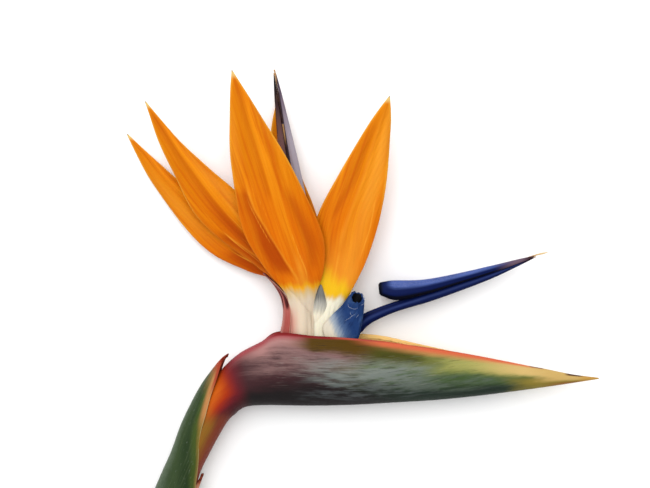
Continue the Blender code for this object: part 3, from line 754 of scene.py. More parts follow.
def sepal_finish():
    """Orange in soft lengthwise bands, on a yellow and cream foot, with painted shade in its creases and
    painted highlights on its ridges.
    """
    finish = Finish("sepal_orange", colour(236, 120, 6), 0.5, 0.03, 0.04)
    paint, ease = finish.layer, finish.ease
    edge = finish.number("edge")
    shade = finish.number("shade")
    above, gold, _ = finish.split(finish.field("foot"))
    broad = finish.noise(0.13, 0.010, 2.0, 3.0)
    deep = finish.noise(0.22, 0.014, 15.0, 3.0)
    streak = finish.noise(0.6, 0.018, 5.0, 4.0, 0.55)
    vein = finish.noise(2.2, 0.016, 8.0, 3.0, 0.6)
    paint(colour(230, 136, 10), ease(finish.along, 0.40, 0.75, 0.0, 0.8))
    paint(colour(252, 150, 18), ease(broad, 0.46, 0.66, 0.0, 0.9))
    paint(colour(212, 94, 4), ease(deep, 0.50, 0.72, 0.0, 0.7))
    paint(colour(210, 92, 4), ease(streak, 0.50, 0.70, 0.0, 0.55))
    paint(colour(254, 162, 34), ease(streak, 0.44, 0.28, 0.0, 0.5))
    paint(colour(204, 88, 4), ease(vein, 0.54, 0.68, 0.0, 0.42))
    paint(colour(254, 166, 44), ease(vein, 0.44, 0.32, 0.0, 0.32))
    paint(colour(232, 104, 6), ease(above, 30, 8, 0.0, 0.45))
    # painted shade in the creases and the dark patches
    paint(colour(186, 70, 4), ease(shade, 0.05, 1.0, 0.0, 0.9))
    # painted highlights on ridges, lips, thin lines and light patches
    paint(colour(258, 168, 48), ease(finish.number("gleam"), 0.1, 1.0, 0.0, 0.85))
    paint(colour(250, 182, 60), ease(edge, 1.4, 0.3), ease(finish.along, 0.45, 0.65, 0.10, 0.6))
    stray = finish.maths("ADD", finish.lean(deep, 7.0), finish.lean(streak, 4.0))
    height = finish.maths("ADD", above, stray)
    share = finish.maths("DIVIDE", height, gold)
    paint(colour(258, 202, 34), ease(share, 1.7, 0.6), ease(gold, 0.5, 6.0, 0.30, 1.0))
    paint(colour(230, 200, 146), ease(height, 2.8, -1.0))
    paint(colour(242, 224, 200), ease(height, 0.6, -5.0, 0.0, 0.9))
    # the right claws' cream, partly its own colour and partly painted light where the sepals shade the
    # claws
    paint(colour(260, 253, 228), ease(height, 1.8, -1.6), ease(gold, 3.4, 4.4))
    paint(colour(226, 158, 142), ease(above, -3, -14), ease(finish.across, 0.50, 0.04),
          ease(gold, 4.4, 3.4))
    # painted shade of the creases on the cream foot
    paint(colour(184, 160, 126), ease(above, 2, -1), ease(shade, 0.1, 1.0, 0.0, 0.9))
    paint(colour(240, 206, 130), ease(finish.along, 0.965, 0.988, 0.0, 0.9))
    paint(colour(170, 150, 116), ease(finish.along, 0.992, 0.999))
    finish.rise(vein, 0.07)
    finish.rise(streak, 0.14)
    finish.rise(finish.noise(3.0, 1.6, 23.0), 0.02)
    return finish.done()


def crease_fields(creases, patches, u, v, width):
    """Relief in millimetres, painted shade and painted highlight (gleam) from the creases and patches.

    A crease is its kind, height and spread in millimetres, and the points (along, across) it
    runs through. A patch is its place along and across, its reach each way and its strength,
    which is below 0 where it is lighter."""
    relief = np.zeros(np.broadcast(u, v).shape)
    shade = relief.copy()
    gleam = relief.copy()
    for kind, height, spread, path in creases:
        runs, places = zip(*path)
        off = (u - np.interp(v, runs, places)) * width
        fade = np.clip((v - runs[0]) / 0.06 + 0.5, 0, 1) * np.clip((runs[-1] - v) / 0.06 + 0.5, 0, 1)
        bell = np.exp(-(off / spread) ** 2)
        # a groove paints shade in its hollow
        if kind == "groove":
            relief -= height * bell * fade
            shade += np.exp(-(off / (1.4 * spread)) ** 2) * fade * min(height, 1.0)
        # a ridge paints a highlight along its crest
        elif kind == "ridge":
            relief += height * bell * fade
            gleam += np.exp(-(off / (0.7 * spread)) ** 2) * fade * 0.5 * min(height, 1.0)
        # a line paints a thin highlight only, with no relief
        elif kind == "line":
            gleam += np.exp(-(off / spread) ** 2) * fade * height
        # a step paints shade below its lip and a highlight along it
        else:
            lip = 1 / (1 + np.exp(-off / 0.45))
            relief += height * lip * np.exp(-np.clip(off, 0, None) / spread) * fade
            shade += (1 - lip) * np.exp(np.clip(off, None, 0) / (1.6 * spread)) * fade
            gleam += 0.55 * np.exp(-((off - 0.6) / 0.6) ** 2) * fade
    # patches are partly painted shade and highlight, partly the sepal's own deeper orange
    for along, across, reach_along, reach_across, strength in patches:
        bell = np.exp(-((v - along) / reach_along) ** 2 - ((u - across) / reach_across) ** 2)
        shade += strength * bell
        gleam -= min(strength, 0.0) * bell
    return relief, shade, gleam


def add_sepal(name, table, finish, creases, patches=(), seed=1.0, columns=84, rows=170,
              foot=(20.0, 18.0, 3.0, 3.0)):
    """A long pointed sepal. Each row: left edge x, y, z, right edge x, y, z, and how far the
    middle stands above the line between the edges. Foot: y of the cream foot's end on the left
    and on the right, and how far the yellow reaches above it on the left and on the right."""
    values, _ = even_rows(table, rows, lambda t: (t[:, 0:3] + t[:, 3:6]) / 2)
    left = values[:, None, 0:3]
    right = values[:, None, 3:6]
    u = across_steps(columns)[None, :]
    v = np.linspace(0, 1, rows)[:, None]
    points = left + (right - left) * u[..., None]
    points[..., 2] += values[:, 6:7] * (1 - (2 * u - 1) ** 2)
    width = np.linalg.norm(right - left, axis=2)
    relief, shade, gleam = crease_fields(creases, patches, u, v, width)
    room = np.clip(width / 12, 0, 1)
    relief += 0.22 * ripple(u * 4, v * 6, (2.4, 1.2), seed) * room
    relief += 0.04 * np.sin(u * width * 2.9 + seed) * room
    curl = 0.35 * np.sin(v * 19 + seed) * (2 * u - 1) ** 6 * room
    points = points + normals(points) * (relief + curl)[..., None]
    half = wall_taper(points, SEPAL_WALL, 2.2)[..., None] / 2
    half = half * np.clip((1.01 - v) / 0.06, 0.3, 1)[..., None]
    out = normals(points)
    above = points[..., 1] - foot[0] - (foot[1] - foot[0]) * u
    gold = foot[2] + (foot[3] - foot[2]) * u
    mesh = sheet_mesh(name + "_leaf", points + out * half, points - out * half, v[:, 0], finish,
                      shade, gleam, (above, gold))
    add_piece(name + "_leaf", mesh, "sepal", name)


FRONT_SEPAL = (
    (-9.8, -4.0, 4.2, 0.6, -4.0, 3.5, 1.6),
    (-9.8, 6.0, 4.2, 0.8, 6.0, 3.5, 2.0),
    (-10.2, 12.4, 4.6, 1.0, 12.0, 3.9, 2.0),
    (-12.0, 19.0, 6.2, 1.8, 17.6, 5.2, 2.2),
    (-22.0, 31.8, 8.4, 5.4, 30.6, 7.4, 3.2),
    (-31.4, 49.6, 11.2, 4.0, 47.4, 10.6, 3.6),
    (-35.6, 76.8, 15.6, -9.2, 75.4, 16.0, 3.0),
    (-36.2, 99.2, 20.0, -22.8, 98.2, 20.6, 1.2),
    (-35.3, 117.4, 22.6, -34.9, 117.4, 22.6, 0.0),
)

RIGHT_SEPAL = (
    (0.6, -4.0, 2.9, 9.4, -4.0, 2.3, 0.2),
    (0.6, 6.0, 2.9, 12.2, 6.0, 2.1, 0.4),
    (0.8, 12.0, 2.9, 13.2, 12.0, 2.1, 0.5),
    (1.4, 18.0, 2.8, 16.4, 17.4, 2.4, 0.8),
    (1.2, 32.0, 3.3, 24.2, 33.2, 4.4, 1.4),
    (1.6, 51.0, 5.2, 30.2, 51.6, 6.4, 1.6),
    (12.0, 72.0, 7.4, 33.6, 71.6, 7.6, 1.4),
    (25.2, 94.2, 9.4, 35.2, 93.6, 8.4, 0.8),
    (34.4, 106.9, 9.8, 34.8, 106.9, 9.8, 0.0),
)

BACK_SEPAL = (
    (-4.6, -5.0, 3.2, 0.2, -5.0, 2.9, 0.2),
    (-4.8, 8.0, 3.2, -0.4, 8.0, 2.8, 0.2),
    (-7.0, 20.0, 3.4, -0.2, 19.0, 3.2, 0.3),
    (-14.0, 33.0, 4.6, -2.2, 32.0, 4.4, 0.5),
    (-24.0, 50.0, 7.0, -6.0, 49.0, 7.0, 0.8),
    (-29.0, 76.0, 10.0, -13.6, 76.0, 10.0, 0.8),
    (-30.4, 95.8, 12.6, -25.0, 95.8, 12.6, 0.4),
    (-31.2, 103.4, 13.6, -30.4, 103.4, 13.6, 0.0),
)

SECOND_LEFT_SEPAL = (
    (-10.8, -4.0, -2.8, -7.0, -4.0, -2.8, 0.2),
    (-10.3, 8.0, -2.8, -7.0, 8.0, -2.8, 0.2),
    (-10.3, 15.6, -3.2, -7.0, 15.0, -3.4, 0.3),
    (-16.8, 24.6, -4.4, -9.6, 22.4, -4.2, 0.5),
    (-29.4, 28.8, -5.2, -15.0, 33.0, -4.6, 1.2),
    (-45.0, 36.4, -6.6, -26.4, 43.0, -5.2, 1.8),
    (-59.0, 50.2, -8.2, -41.0, 55.4, -6.2, 2.0),
    (-72.0, 67.8, -9.8, -58.6, 68.2, -8.2, 1.6),
    (-79.6, 81.4, -10.8, -71.2, 79.0, -9.8, 0.8),
    (-84.4, 90.9, -11.2, -84.0, 91.1, -11.2, 0.0),
)

SECOND_MIDDLE_SEPAL = (
    (-9.8, -4.0, 0.4, -6.8, -4.0, 0.4, 0.2),
    (-10.2, 8.0, 0.5, -6.8, 8.0, 0.5, 0.2),
    (-10.8, 16.4, 0.0, -7.0, 15.4, 0.4, 0.3),
    (-16.4, 23.6, -0.8, -8.2, 21.8, 0.2, 0.6),
    (-27.4, 32.6, -1.0, -12.0, 33.0, 1.2, 1.6),
    (-41.2, 43.2, -0.8, -20.0, 48.0, 2.2, 2.2),
    (-54.0, 56.2, -0.2, -31.2, 62.0, 3.0, 2.4),
    (-62.8, 74.0, 0.6, -46.8, 75.6, 3.0, 1.8),
    (-69.8, 89.8, 1.4, -59.6, 87.4, 2.6, 1.0),
    (-75.1, 104.9, 2.2, -74.7, 105.1, 2.2, 0.0),
)

SECOND_BACK_SEPAL = (
    (-7.4, -4.0, -5.4, -3.0, -4.0, -5.4, 0.2),
    (-7.2, 8.0, -5.6, -1.6, 8.0, -5.6, 0.2),
    (-8.4, 22.0, -6.6, 3.0, 22.0, -6.6, -0.4),
    (-12.6, 38.0, -8.2, 6.0, 38.0, -8.2, -0.8),
    (-16.4, 55.4, -9.4, 1.6, 55.4, -9.4, -1.0),
    (-18.6, 76.8, -10.2, -6.8, 76.8, -10.2, -0.8),
    (-18.6, 93.4, -10.8, -11.0, 93.4, -10.8, -0.4),
    (-15.6, 108.4, -11.2, -14.8, 108.4, -11.2, 0.0),
)


def add_sepals():
    finish = sepal_finish()
    add_sepal("flower_1_sepal_front", FRONT_SEPAL, finish, (
        ("groove", 0.40, 1.5, ((0.52, 0.46), (0.66, 0.48), (0.82, 0.46), (0.98, 0.48))),
        ("step", 1.0, 5.0, ((0.24, 0.48), (0.30, 0.40), (0.38, 0.33), (0.43, 0.29), (0.49, 0.22),
                            (0.57, 0.18))),
        ("ridge", 0.4, 1.4, ((0.24, 0.62), (0.34, 0.56), (0.50, 0.52), (0.66, 0.56))),
        ("ridge", 0.3, 1.6, ((0.30, 0.72), (0.45, 0.66), (0.70, 0.68))),
        ("line", 0.8, 0.30, ((0.36, 0.30), (0.44, 0.24), (0.52, 0.17))),
        ("line", 0.7, 0.25, ((0.25, 0.70), (0.33, 0.63), (0.42, 0.60))),
        ("line", 0.5, 0.25, ((0.44, 0.38), (0.52, 0.33), (0.58, 0.32))),
        ("groove", 0.3, 1.8, ((0.26, 0.82), (0.42, 0.76), (0.56, 0.74))),
        ("ridge", 0.8, 2.2, ((-0.02, 0.50), (0.08, 0.48), (0.15, 0.42))),
        ("groove", 0.5, 0.9, ((0.06, 0.94), (0.11, 0.86), (0.14, 0.55), (0.19, 0.20))),
    ), (
        (0.33, 0.24, 0.08, 0.12, 0.45),
        (0.37, 0.88, 0.10, 0.12, 0.40),
        (0.20, 0.62, 0.05, 0.40, -0.55),
        (0.50, 0.80, 0.14, 0.10, 0.35),
        (0.75, 0.10, 0.20, 0.14, -0.5),
        (0.80, 0.90, 0.20, 0.12, -0.35),
        (0.28, 0.62, 0.06, 0.12, -0.4),
    ), seed=1.0, foot=(19.4, 20.0, 2.6, 3.2))
    add_sepal("flower_1_sepal_right", RIGHT_SEPAL, finish, (
        ("ridge", 0.6, 1.6, ((0.40, 0.46), (0.50, 0.50), (0.68, 0.53), (0.97, 0.46))),
        ("groove", 0.3, 1.5, ((0.50, 0.28), (0.65, 0.36), (0.9, 0.38))),
        ("groove", 0.2, 1.5, ((0.30, 0.80), (0.50, 0.84), (0.7, 0.84))),
        ("line", 0.6, 0.25, ((0.20, 0.46), (0.27, 0.44), (0.34, 0.44))),
        ("line", 0.5, 0.25, ((0.36, 0.86), (0.46, 0.88), (0.56, 0.86))),
    ), (
        (0.62, 0.74, 0.30, 0.18, -0.7),
        (0.66, 0.22, 0.25, 0.18, 0.25),
        (0.30, 0.45, 0.14, 0.45, -0.6),
        (0.22, 0.85, 0.08, 0.25, -0.6),
        (0.85, 0.85, 0.20, 0.20, -0.5),
    ), seed=2.0, foot=(17.6, 15.6, 12.0, 4.0))
    add_sepal("flower_1_sepal_back", BACK_SEPAL, finish, (
        ("groove", 0.4, 1.3, ((0.25, 0.5), (0.95, 0.5))),
    ), ((0.45, 0.9, 0.25, 0.25, 0.5),), seed=3.0, columns=60, rows=150)
    add_sepal("flower_2_sepal_left", SECOND_LEFT_SEPAL, finish, (
        ("groove", 0.35, 1.6, ((0.46, 0.62), (0.66, 0.58), (0.95, 0.52))),
        ("ridge", 0.5, 1.4, ((0.30, 0.60), (0.42, 0.48), (0.56, 0.40))),
        ("step", 0.4, 3.0, ((0.26, 0.30), (0.36, 0.40), (0.44, 0.52))),
        ("line", 0.9, 0.30, ((0.26, 0.52), (0.33, 0.44), (0.42, 0.40))),
        ("line", 0.7, 0.25, ((0.36, 0.70), (0.44, 0.66), (0.52, 0.62))),
    ), (
        (0.29, 0.4, 0.10, 0.5, 0.30),
        (0.46, 0.95, 0.18, 0.18, 0.4),
        (0.66, 0.25, 0.24, 0.24, -0.6),
        (0.42, 0.20, 0.10, 0.25, 0.35),
    ), seed=4.0, foot=(17.0, 17.0, 3.0, 3.0))
    add_sepal("flower_2_sepal_middle", SECOND_MIDDLE_SEPAL, finish, (
        ("groove", 0.5, 2.2, ((0.34, 0.42), (0.50, 0.42), (0.70, 0.44), (0.96, 0.48))),
        ("ridge", 0.5, 1.4, ((0.28, 0.64), (0.40, 0.62), (0.56, 0.68))),
        ("step", 0.4, 3.0, ((0.26, 0.44), (0.36, 0.26), (0.46, 0.16))),
        ("line", 0.9, 0.30, ((0.30, 0.30), (0.37, 0.22), (0.44, 0.20))),
        ("line", 0.7, 0.25, ((0.38, 0.60), (0.46, 0.54), (0.53, 0.52))),
        ("line", 0.6, 0.22, ((0.34, 0.78), (0.41, 0.74), (0.48, 0.74))),
        ("line", 0.6, 0.22, ((0.32, 0.48), (0.38, 0.42), (0.43, 0.38))),
    ), (
        (0.44, 0.40, 0.12, 0.20, 0.35),
        (0.27, 0.5, 0.07, 0.5, 0.15),
        (0.62, 0.80, 0.24, 0.18, -0.6),
    ), seed=5.0, foot=(17.0, 17.0, 3.0, 3.0))
    add_sepal("flower_2_sepal_back", SECOND_BACK_SEPAL, finish, (
        ("groove", 0.5, 1.4, ((0.25, 0.5), (0.95, 0.5))),
    ), ((0.6, 0.9, 0.3, 0.3, 0.5),), seed=6.0, columns=60, rows=150)


# ---------------------------------------------------------------- arrows

# The head of an arrow, from the back of its lobe to its tip: distance from the tip, lobe's
# middle above the seam, lobe's half height, half depth and distance out, keel's depth
HEAD = (
    (75.6, 5.6, 2.0, 1.0, 3.0, 4.6),
    (74.4, 5.5, 3.1, 1.7, 3.1, 4.6),
    (67.5, 4.6, 4.4, 2.3, 3.2, 4.5),
    (54.5, 3.2, 3.3, 2.2, 3.0, 4.0),
    (40.0, 2.2, 2.3, 1.8, 2.5, 3.5),
    (25.0, 1.5, 1.6, 1.2, 1.8, 2.5),
    (11.5, 0.8, 0.8, 0.6, 1.2, 1.0),
    (4.6, 0.35, 0.14, 0.12, 0.5, 0.2),
)
KEEL_DROP = 0.38
KEEL_REACH = 0.62
KEEL_START = 3
CORE_RADIUS = 0.35
CORE_GAP = 0.3
STYLE_START = 6

LOBE_PART = 0.0
KEEL_PART = 1.0

# How finely a petal is made: rows along its lobe and its keel, and columns round them
LOBE_ROWS = 150
KEEL_ROWS = 190
PETAL_COLUMNS = 48


def up_frames(points, side):
    """At each point of a line, the direction across it that is square to the side."""
    return unit(np.cross(side, np.gradient(points, axis=0)))


def head_rows(seam, side, squash, rows):
    """The head's table and seam, read finely: seam points, up directions and the table."""
    table = np.hstack([seam, np.array(HEAD)])
    values, _ = even_rows(table, rows, lambda t: t[:, 0:3])
    points = values[:, 0:3]
    values[:, 4] *= squash
    values[:, 5] *= squash
    return points, up_frames(points, side), values[:, 3:]


def petal_angles():
    return np.linspace(0, 2 * math.pi, PETAL_COLUMNS, endpoint=False)[None, :]


def lobe_mesh(name, seam, side, hand, squash, finish):
    """The lobe of a petal, with painted light on its back and painted shade on its underside."""
    out_side = side * hand
    angle = petal_angles()
    rise = np.sin(angle)
    out = np.cos(angle)
    points, up, head = head_rows(seam, side, squash, LOBE_ROWS)
    v = np.linspace(0, 1, len(points))[:, None]
    round_end = np.clip(v / 0.03, 0, 1) ** 0.5
    grooves = 1 - 0.03 * np.cos(angle * 7 + 4 * v) * round_end
    middle = points + up * head[:, 1:2] + out_side * head[:, 4:5]
    lobe = (middle[:, None] + up[:, None] * (head[:, 2:3] * rise * grooves)[..., None]
            + out_side * (head[:, 3:4] * out * grooves)[..., None])
    # painted shade under the lobe and on its blunt back end
    shade = np.clip((-rise - 0.30) / 0.5, 0, 1) + 0 * v
    shade = np.maximum(shade, np.clip((0.035 - v) / 0.03, 0, 1) + 0 * rise)
    # painted light on the lobe's upper side
    light = (np.clip((rise + 0.10) / 0.60, 0, 1) * np.clip((v - 0.02) / 0.08, 0, 1)
             * np.clip((1.05 - v) / 0.5, 0, 1))
    return tube_mesh(name + "_lobe", lobe, finish, LOBE_PART, shade, light)


def keel_table(seam, neck, side, squash):
    """The keel's line, half height and half depth: along the neck, then under the seam."""
    start = np.array([row[:3] for row in neck])
    keel_depths = np.array(HEAD)[KEEL_START:, 5]
    heights = np.concatenate([[row[3] for row in neck], KEEL_REACH * keel_depths * squash])
    depths = np.concatenate([[row[4] for row in neck], KEEL_REACH * keel_depths])
    drops = np.concatenate([np.zeros(len(neck)), KEEL_DROP * keel_depths * squash])
    up = np.vstack([up_frames(start, side), up_frames(np.array(seam), side)[KEEL_START:]])
    line = np.vstack([start, seam[KEEL_START:]]) - up * drops[:, None]
    return np.column_stack([line, heights, depths])


def keel_mesh(name, seam, neck, side, hand, squash, finish):
    """The keel of a petal, with a furrow along its neck, painted shade along the seam and in the furrow,
    and a painted highlight along its middle.
    """
    angle = petal_angles()
    rise = np.sin(angle)
    out = np.cos(angle)
    values, _ = even_rows(keel_table(seam, neck, side, squash), KEEL_ROWS, lambda t: t[:, 0:3])
    centre = values[:, 0:3]
    up = up_frames(centre, side)
    s = np.linspace(0, 1, len(centre))[:, None]
    furrow = np.exp(-((angle - 0.55) / 0.22) ** 2) * np.clip(1 - s * 1.1, 0, 1)
    bulge = np.clip(out, 0, None) * (1 - 0.34 * furrow)
    keel = (centre[:, None] + up[:, None] * (values[:, 3:4] * rise)[..., None]
            + side * hand * (PETAL_GAP + values[:, 4:5] * bulge)[..., None])
    # painted shade on the keel's top along the seam and in the neck's furrow
    shade = np.clip((rise - 0.35) / 0.4, 0, 1) * np.clip((s - 0.35) / 0.1, 0, 1)
    shade = np.maximum(shade, 0.8 * furrow)
    # a painted highlight along the keel's middle
    light = 0.35 * np.exp(-((rise + 0.1) / 0.4) ** 2) * np.clip(out, 0, 1) + 0 * s
    return tube_mesh(name + "_keel", keel, finish, KEEL_PART, shade, light)


def add_petal(name, slot, hand, seam, neck, side, squash, finish):
    """One of the two petals of an arrow: a lobe joined to a keel that runs on as the neck."""
    mesh = joined(name + "_skin", [
        lobe_mesh(name, seam, side, hand, squash, finish),
        keel_mesh(name, seam, neck, side, hand, squash, finish)])
    add_piece(name + "_skin", mesh, slot, name)


def rod_rings(table, count, columns, side=UP, ribs=0.0, rib_count=20):
    """Rings round a line of rows of x, y, z and radius."""
    values, _ = even_rows(table, count, lambda t: t[:, 0:3])
    centre = values[:, 0:3]
    up = up_frames(centre, side)
    other = unit(np.cross(np.gradient(centre, axis=0), up))
    angle = np.linspace(0, 2 * math.pi, columns, endpoint=False)[None, :, None]
    radius = values[:, 3:4, None] * (1 + ribs * np.cos(rib_count * angle))
    return centre[:, None] + radius * (up[:, None] * np.cos(angle) + other[:, None] * np.sin(angle))


def blue_finish():
    """Navy with a patchy painted highlight on the lobe's upper side, painted shade on its underside and
    along the seam, and a brown end.
    """
    finish = Finish("blue_petal_skin", colour(9, 25, 80), 0.42, 0.05, 0.01, (0.3, 0.4, 1))
    paint, ease = finish.layer, finish.ease
    lobe = ease(finish.side, 0.7, 0.3)
    gleam = finish.number("gleam")
    streak = finish.noise(1.6, 0.06, 3.0, 4.0, 0.65)
    grain = finish.noise(2.6, 1.8, 6.0, 3.0, 0.7)
    patch = finish.noise(0.35, 0.07, 8.0, 3.0)
    # painted highlight in patches on the lobe's upper side and the keel's middle
    paint(colour(80, 102, 172), ease(gleam, 0.05, 0.9), ease(patch, 0.25, 0.6, 0.6, 1.0))
    # a brighter painted highlight on top of the lobe
    paint(colour(124, 134, 184), ease(gleam, 0.5, 1.0, 0, 0.7), ease(grain, 0.46, 0.66), lobe)
    paint(colour(12, 20, 56), ease(streak, 0.5, 0.72, 0.0, 0.6))
    # painted shade under the lobe, at its back end, along the seam and in the neck's furrow
    paint(colour(4, 9, 28), ease(finish.number("shade"), 0.2, 0.9))
    brown = finish.maths("ADD", finish.along, finish.lean(streak, 0.16))
    paint(colour(122, 98, 112), ease(brown, 0.72, 0.88, 0.0, 0.85), lobe)
    paint(colour(50, 26, 30), ease(finish.along, 0.90, 0.97, 0.0, 0.9))
    paint(colour(186, 138, 92), ease(finish.along, 0.982, 0.995))
    finish.rise(streak, 0.12)
    finish.rise(grain, 0.06)
    return finish.done()


def faded_finish(name, base, dark, line, pale):
    """Dry and streaky, with thin lighter lines along it, and a painted highlight in the pale colour on
    the lobes' upper sides and the keels' middles.
    """
    finish = Finish(name, base, 0.6, 0.06, 0.01)
    paint, ease = finish.layer, finish.ease
    streak = finish.noise(2.0, 0.05, 3.0, 4.0, 0.65)
    thread = finish.noise(3.4, 0.02, 6.0, 2.0, 0.6)
    patch = finish.noise(0.4, 0.05, 8.0)
    paint(dark, ease(streak, 0.46, 0.66, 0.0, 0.85))
    paint(dark, ease(finish.along, 0.80, 0.92), ease(patch, 0.3, 0.6, 0.5, 1))
    paint(line, ease(thread, 0.60, 0.70, 0.0, 0.8))
    # painted highlight in the pale colour
    paint(pale, ease(finish.number("gleam"), 0.3, 1.0, 0.0, 0.85))
    paint(colour(206, 160, 106), ease(finish.along, 0.982, 0.996))
    finish.rise(streak, 0.22)
    finish.rise(thread, 0.15)
    return finish.done()


def core_finish(name, base, dark, end):
    finish = Finish(name, base, 0.6, 0.12, 0.02)
    paint, ease = finish.layer, finish.ease
    streak = finish.noise(3.0, 0.3, 3.0)
    paint(dark, ease(streak, 0.42, 0.62, 0.0, 0.9))
    paint(end, ease(finish.along, 0.62, 0.9, 0.0, 0.8))
    finish.rise(streak, 0.12)
    return finish.done()


def add_core(prefix, seam, tip, side, squash, finish):
    """The stamens that the two petals hold, and the style up to its stigma past their tips."""
    seam = np.array(seam)
    lifts = (KEEL_REACH - KEEL_DROP) * np.array(HEAD)[:, 5] * squash + CORE_RADIUS + CORE_GAP
    points = seam + up_frames(seam, side) * lifts[:, None]
    stamens = [(*point, CORE_RADIUS) for point in points[KEEL_START:STYLE_START]]
    rings = rod_rings(stamens, 120, 20, side, ribs=0.14, rib_count=5)
    mesh = tube_mesh(prefix + "_stamens_rod", rings, finish)
    add_piece(prefix + "_stamens_rod", mesh, "style", prefix + "_stamens")
    joint = points[STYLE_START - 1] * 0.95 + points[STYLE_START] * 0.05
    beyond = np.array(tip)
    near = points[-1] * 0.45 + beyond * 0.55
    style = [(*joint, CORE_RADIUS), *[(*point, CORE_RADIUS) for point in points[STYLE_START:]],
             (*near, 0.42), (*beyond, 0.14)]
    rings = rod_rings(style, 140, 20, side, ribs=0.12, rib_count=3)
    run = np.linspace(0, 1, len(rings))[:, None, None]
    fuzz = 1 + 0.10 * np.sin(run * 260) * np.clip((run - 0.5) / 0.2, 0, 1)
    centres = rings.mean(axis=1, keepdims=True)
    mesh = tube_mesh(prefix + "_style_rod", centres + (rings - centres) * fuzz, finish)
    add_piece(prefix + "_style_rod", mesh, "style", prefix + "_style")


ARROW_1_HEIGHT = -2.6
ARROW_1_SEAM = ((30.7, 15.0), (31.9, 15.1), (38.6, 15.6), (51.5, 18.6), (66.0, 23.2),
                (81.0, 28.0), (94.5, 32.8), (101.0, 35.2))
ARROW_1_TIP = (106.4, 37.2, ARROW_1_HEIGHT)

# x, y, half height, half depth
ARROW_1_NECK = ((5.6, -8.8, 1.8, 1.6), (12.6, -4.6, 2.8, 1.8), (18.2, 1.4, 3.2, 2.0),
                (24.0, 6.7, 2.8, 2.3), (30.2, 9.8, 2.5, 2.5), (38.6, 13.0, 2.3, 2.6))

ARROW_2_SQUASH = 0.62
ARROW_2_SIDE = unit(np.array((0.94, 0.12, -0.32)))
ARROW_2_RUN = np.array((-0.145, 0.989, 0.0))
ARROW_2_TIP = np.array((-17.1, 119.6, -1.0))
ARROW_2_POINT = 1.6
ARROW_2_NECK = ((-4.4, -5.6, -0.9, 1.3, 1.3), (-4.2, 12.0, -1.3, 1.4, 1.5),
                (-4.2, 30.0, -1.8, 1.6, 1.9), (-6.2, 48.0, -1.8, 1.9, 2.4))


def add_arrows():
    core = core_finish("stamens_and_style", colour(206, 160, 110), colour(142, 88, 58),
                       colour(244, 214, 160))
    dry_core = core_finish("dry_stamens_and_style", colour(72, 48, 44), colour(44, 28, 28),
                           colour(206, 160, 106))
    blue = blue_finish()
    seam = [(x, y, ARROW_1_HEIGHT) for x, y in ARROW_1_SEAM]
    neck = [(x, y, ARROW_1_HEIGHT, height, depth) for x, y, height, depth in ARROW_1_NECK]
    add_petal("flower_1_petal_near", "blue_petal", 1, seam, neck, UP, 1.0, blue)
    add_petal("flower_1_petal_far", "blue_petal", -1, seam, neck, UP, 1.0, blue)
    add_core("flower_1", seam, ARROW_1_TIP, UP, 1.0, core)

    # the left petal's dark is partly its dried colour and partly painted shade of the seam and the keel
    # behind it
    dark = faded_finish("faded_petal_dark_and_shaded", colour(52, 34, 36), colour(20, 13, 17),
                        colour(176, 132, 108), colour(128, 92, 90))
    grey = faded_finish("faded_petal_grey", colour(122, 106, 124), colour(84, 68, 88),
                        colour(160, 140, 146), colour(186, 178, 190))
    seam = [ARROW_2_TIP - ARROW_2_RUN * row[0] for row in HEAD[:-1]]
    seam.append(ARROW_2_TIP - ARROW_2_RUN * ARROW_2_POINT)
    add_petal("flower_2_petal_left", "faded_petal", -1, seam, ARROW_2_NECK, ARROW_2_SIDE,
              ARROW_2_SQUASH, dark)
    add_petal("flower_2_petal_right", "faded_petal", 1, seam, ARROW_2_NECK, ARROW_2_SIDE,
              ARROW_2_SQUASH, grey)
    add_core("flower_2", seam, ARROW_2_TIP, ARROW_2_SIDE, ARROW_2_SQUASH, dry_core)


# ---------------------------------------------------------------- short petals

# x, y, z, half width along the surface, half depth
STUB = (
    (10.6, -5.0, 5.3, 4.0, 1.3),
    (12.4, 0.8, 5.3, 8.2, 1.6),
    (15.4, 6.6, 5.2, 7.0, 1.9),
    (18.4, 12.0, 5.1, 5.0, 2.2),
    (20.7, 18.4, 5.0, 3.5, 2.8),
)
STUB_ACROSS = unit(np.array((0.94, -0.34, 0.0)))
STUB_LIP = (1.1, 0.8)
STUB_HOLLOW = 7.0


def stub_finish():
    finish = Finish("stub_skin", colour(32, 62, 116), 0.5, 0.05, 0.02, (0.3, 0.4, 1))
    paint, ease = finish.layer, finish.ease
    fade = finish.number("edge")
    patch = finish.noise(0.35, 0.16, 3.0, 4.0)
    streak = finish.noise(1.7, 0.14, 6.0, 4.0, 0.65)
    grain = finish.noise(2.6, 2.0, 9.0)
    drift = finish.maths("ADD", fade, finish.lean(streak, 3.0))
    paint(colour(14, 28, 66), ease(streak, 0.48, 0.68, 0.0, 0.7))
    paint(colour(62, 92, 142), ease(patch, 0.50, 0.70, 0.0, 0.7))
    paint(colour(84, 110, 150), ease(drift, 9.0, 4.6, 0.0, 0.9))
    paint(colour(164, 176, 190), ease(drift, 6.0, 3.0))
    paint(colour(234, 224, 204), ease(drift, 3.6, 0.8))
    paint(colour(196, 202, 220), ease(finish.number("gleam"), 0.4, 0.85), ease(grain, 0.40, 0.52))
    # painted shade inside the stub's hollow
    paint(colour(0, 2, 10), ease(finish.number("shade"), 0.1, 0.6))
    finish.rise(streak, 0.18)
    finish.rise(grain, 0.08)
    return finish.done()


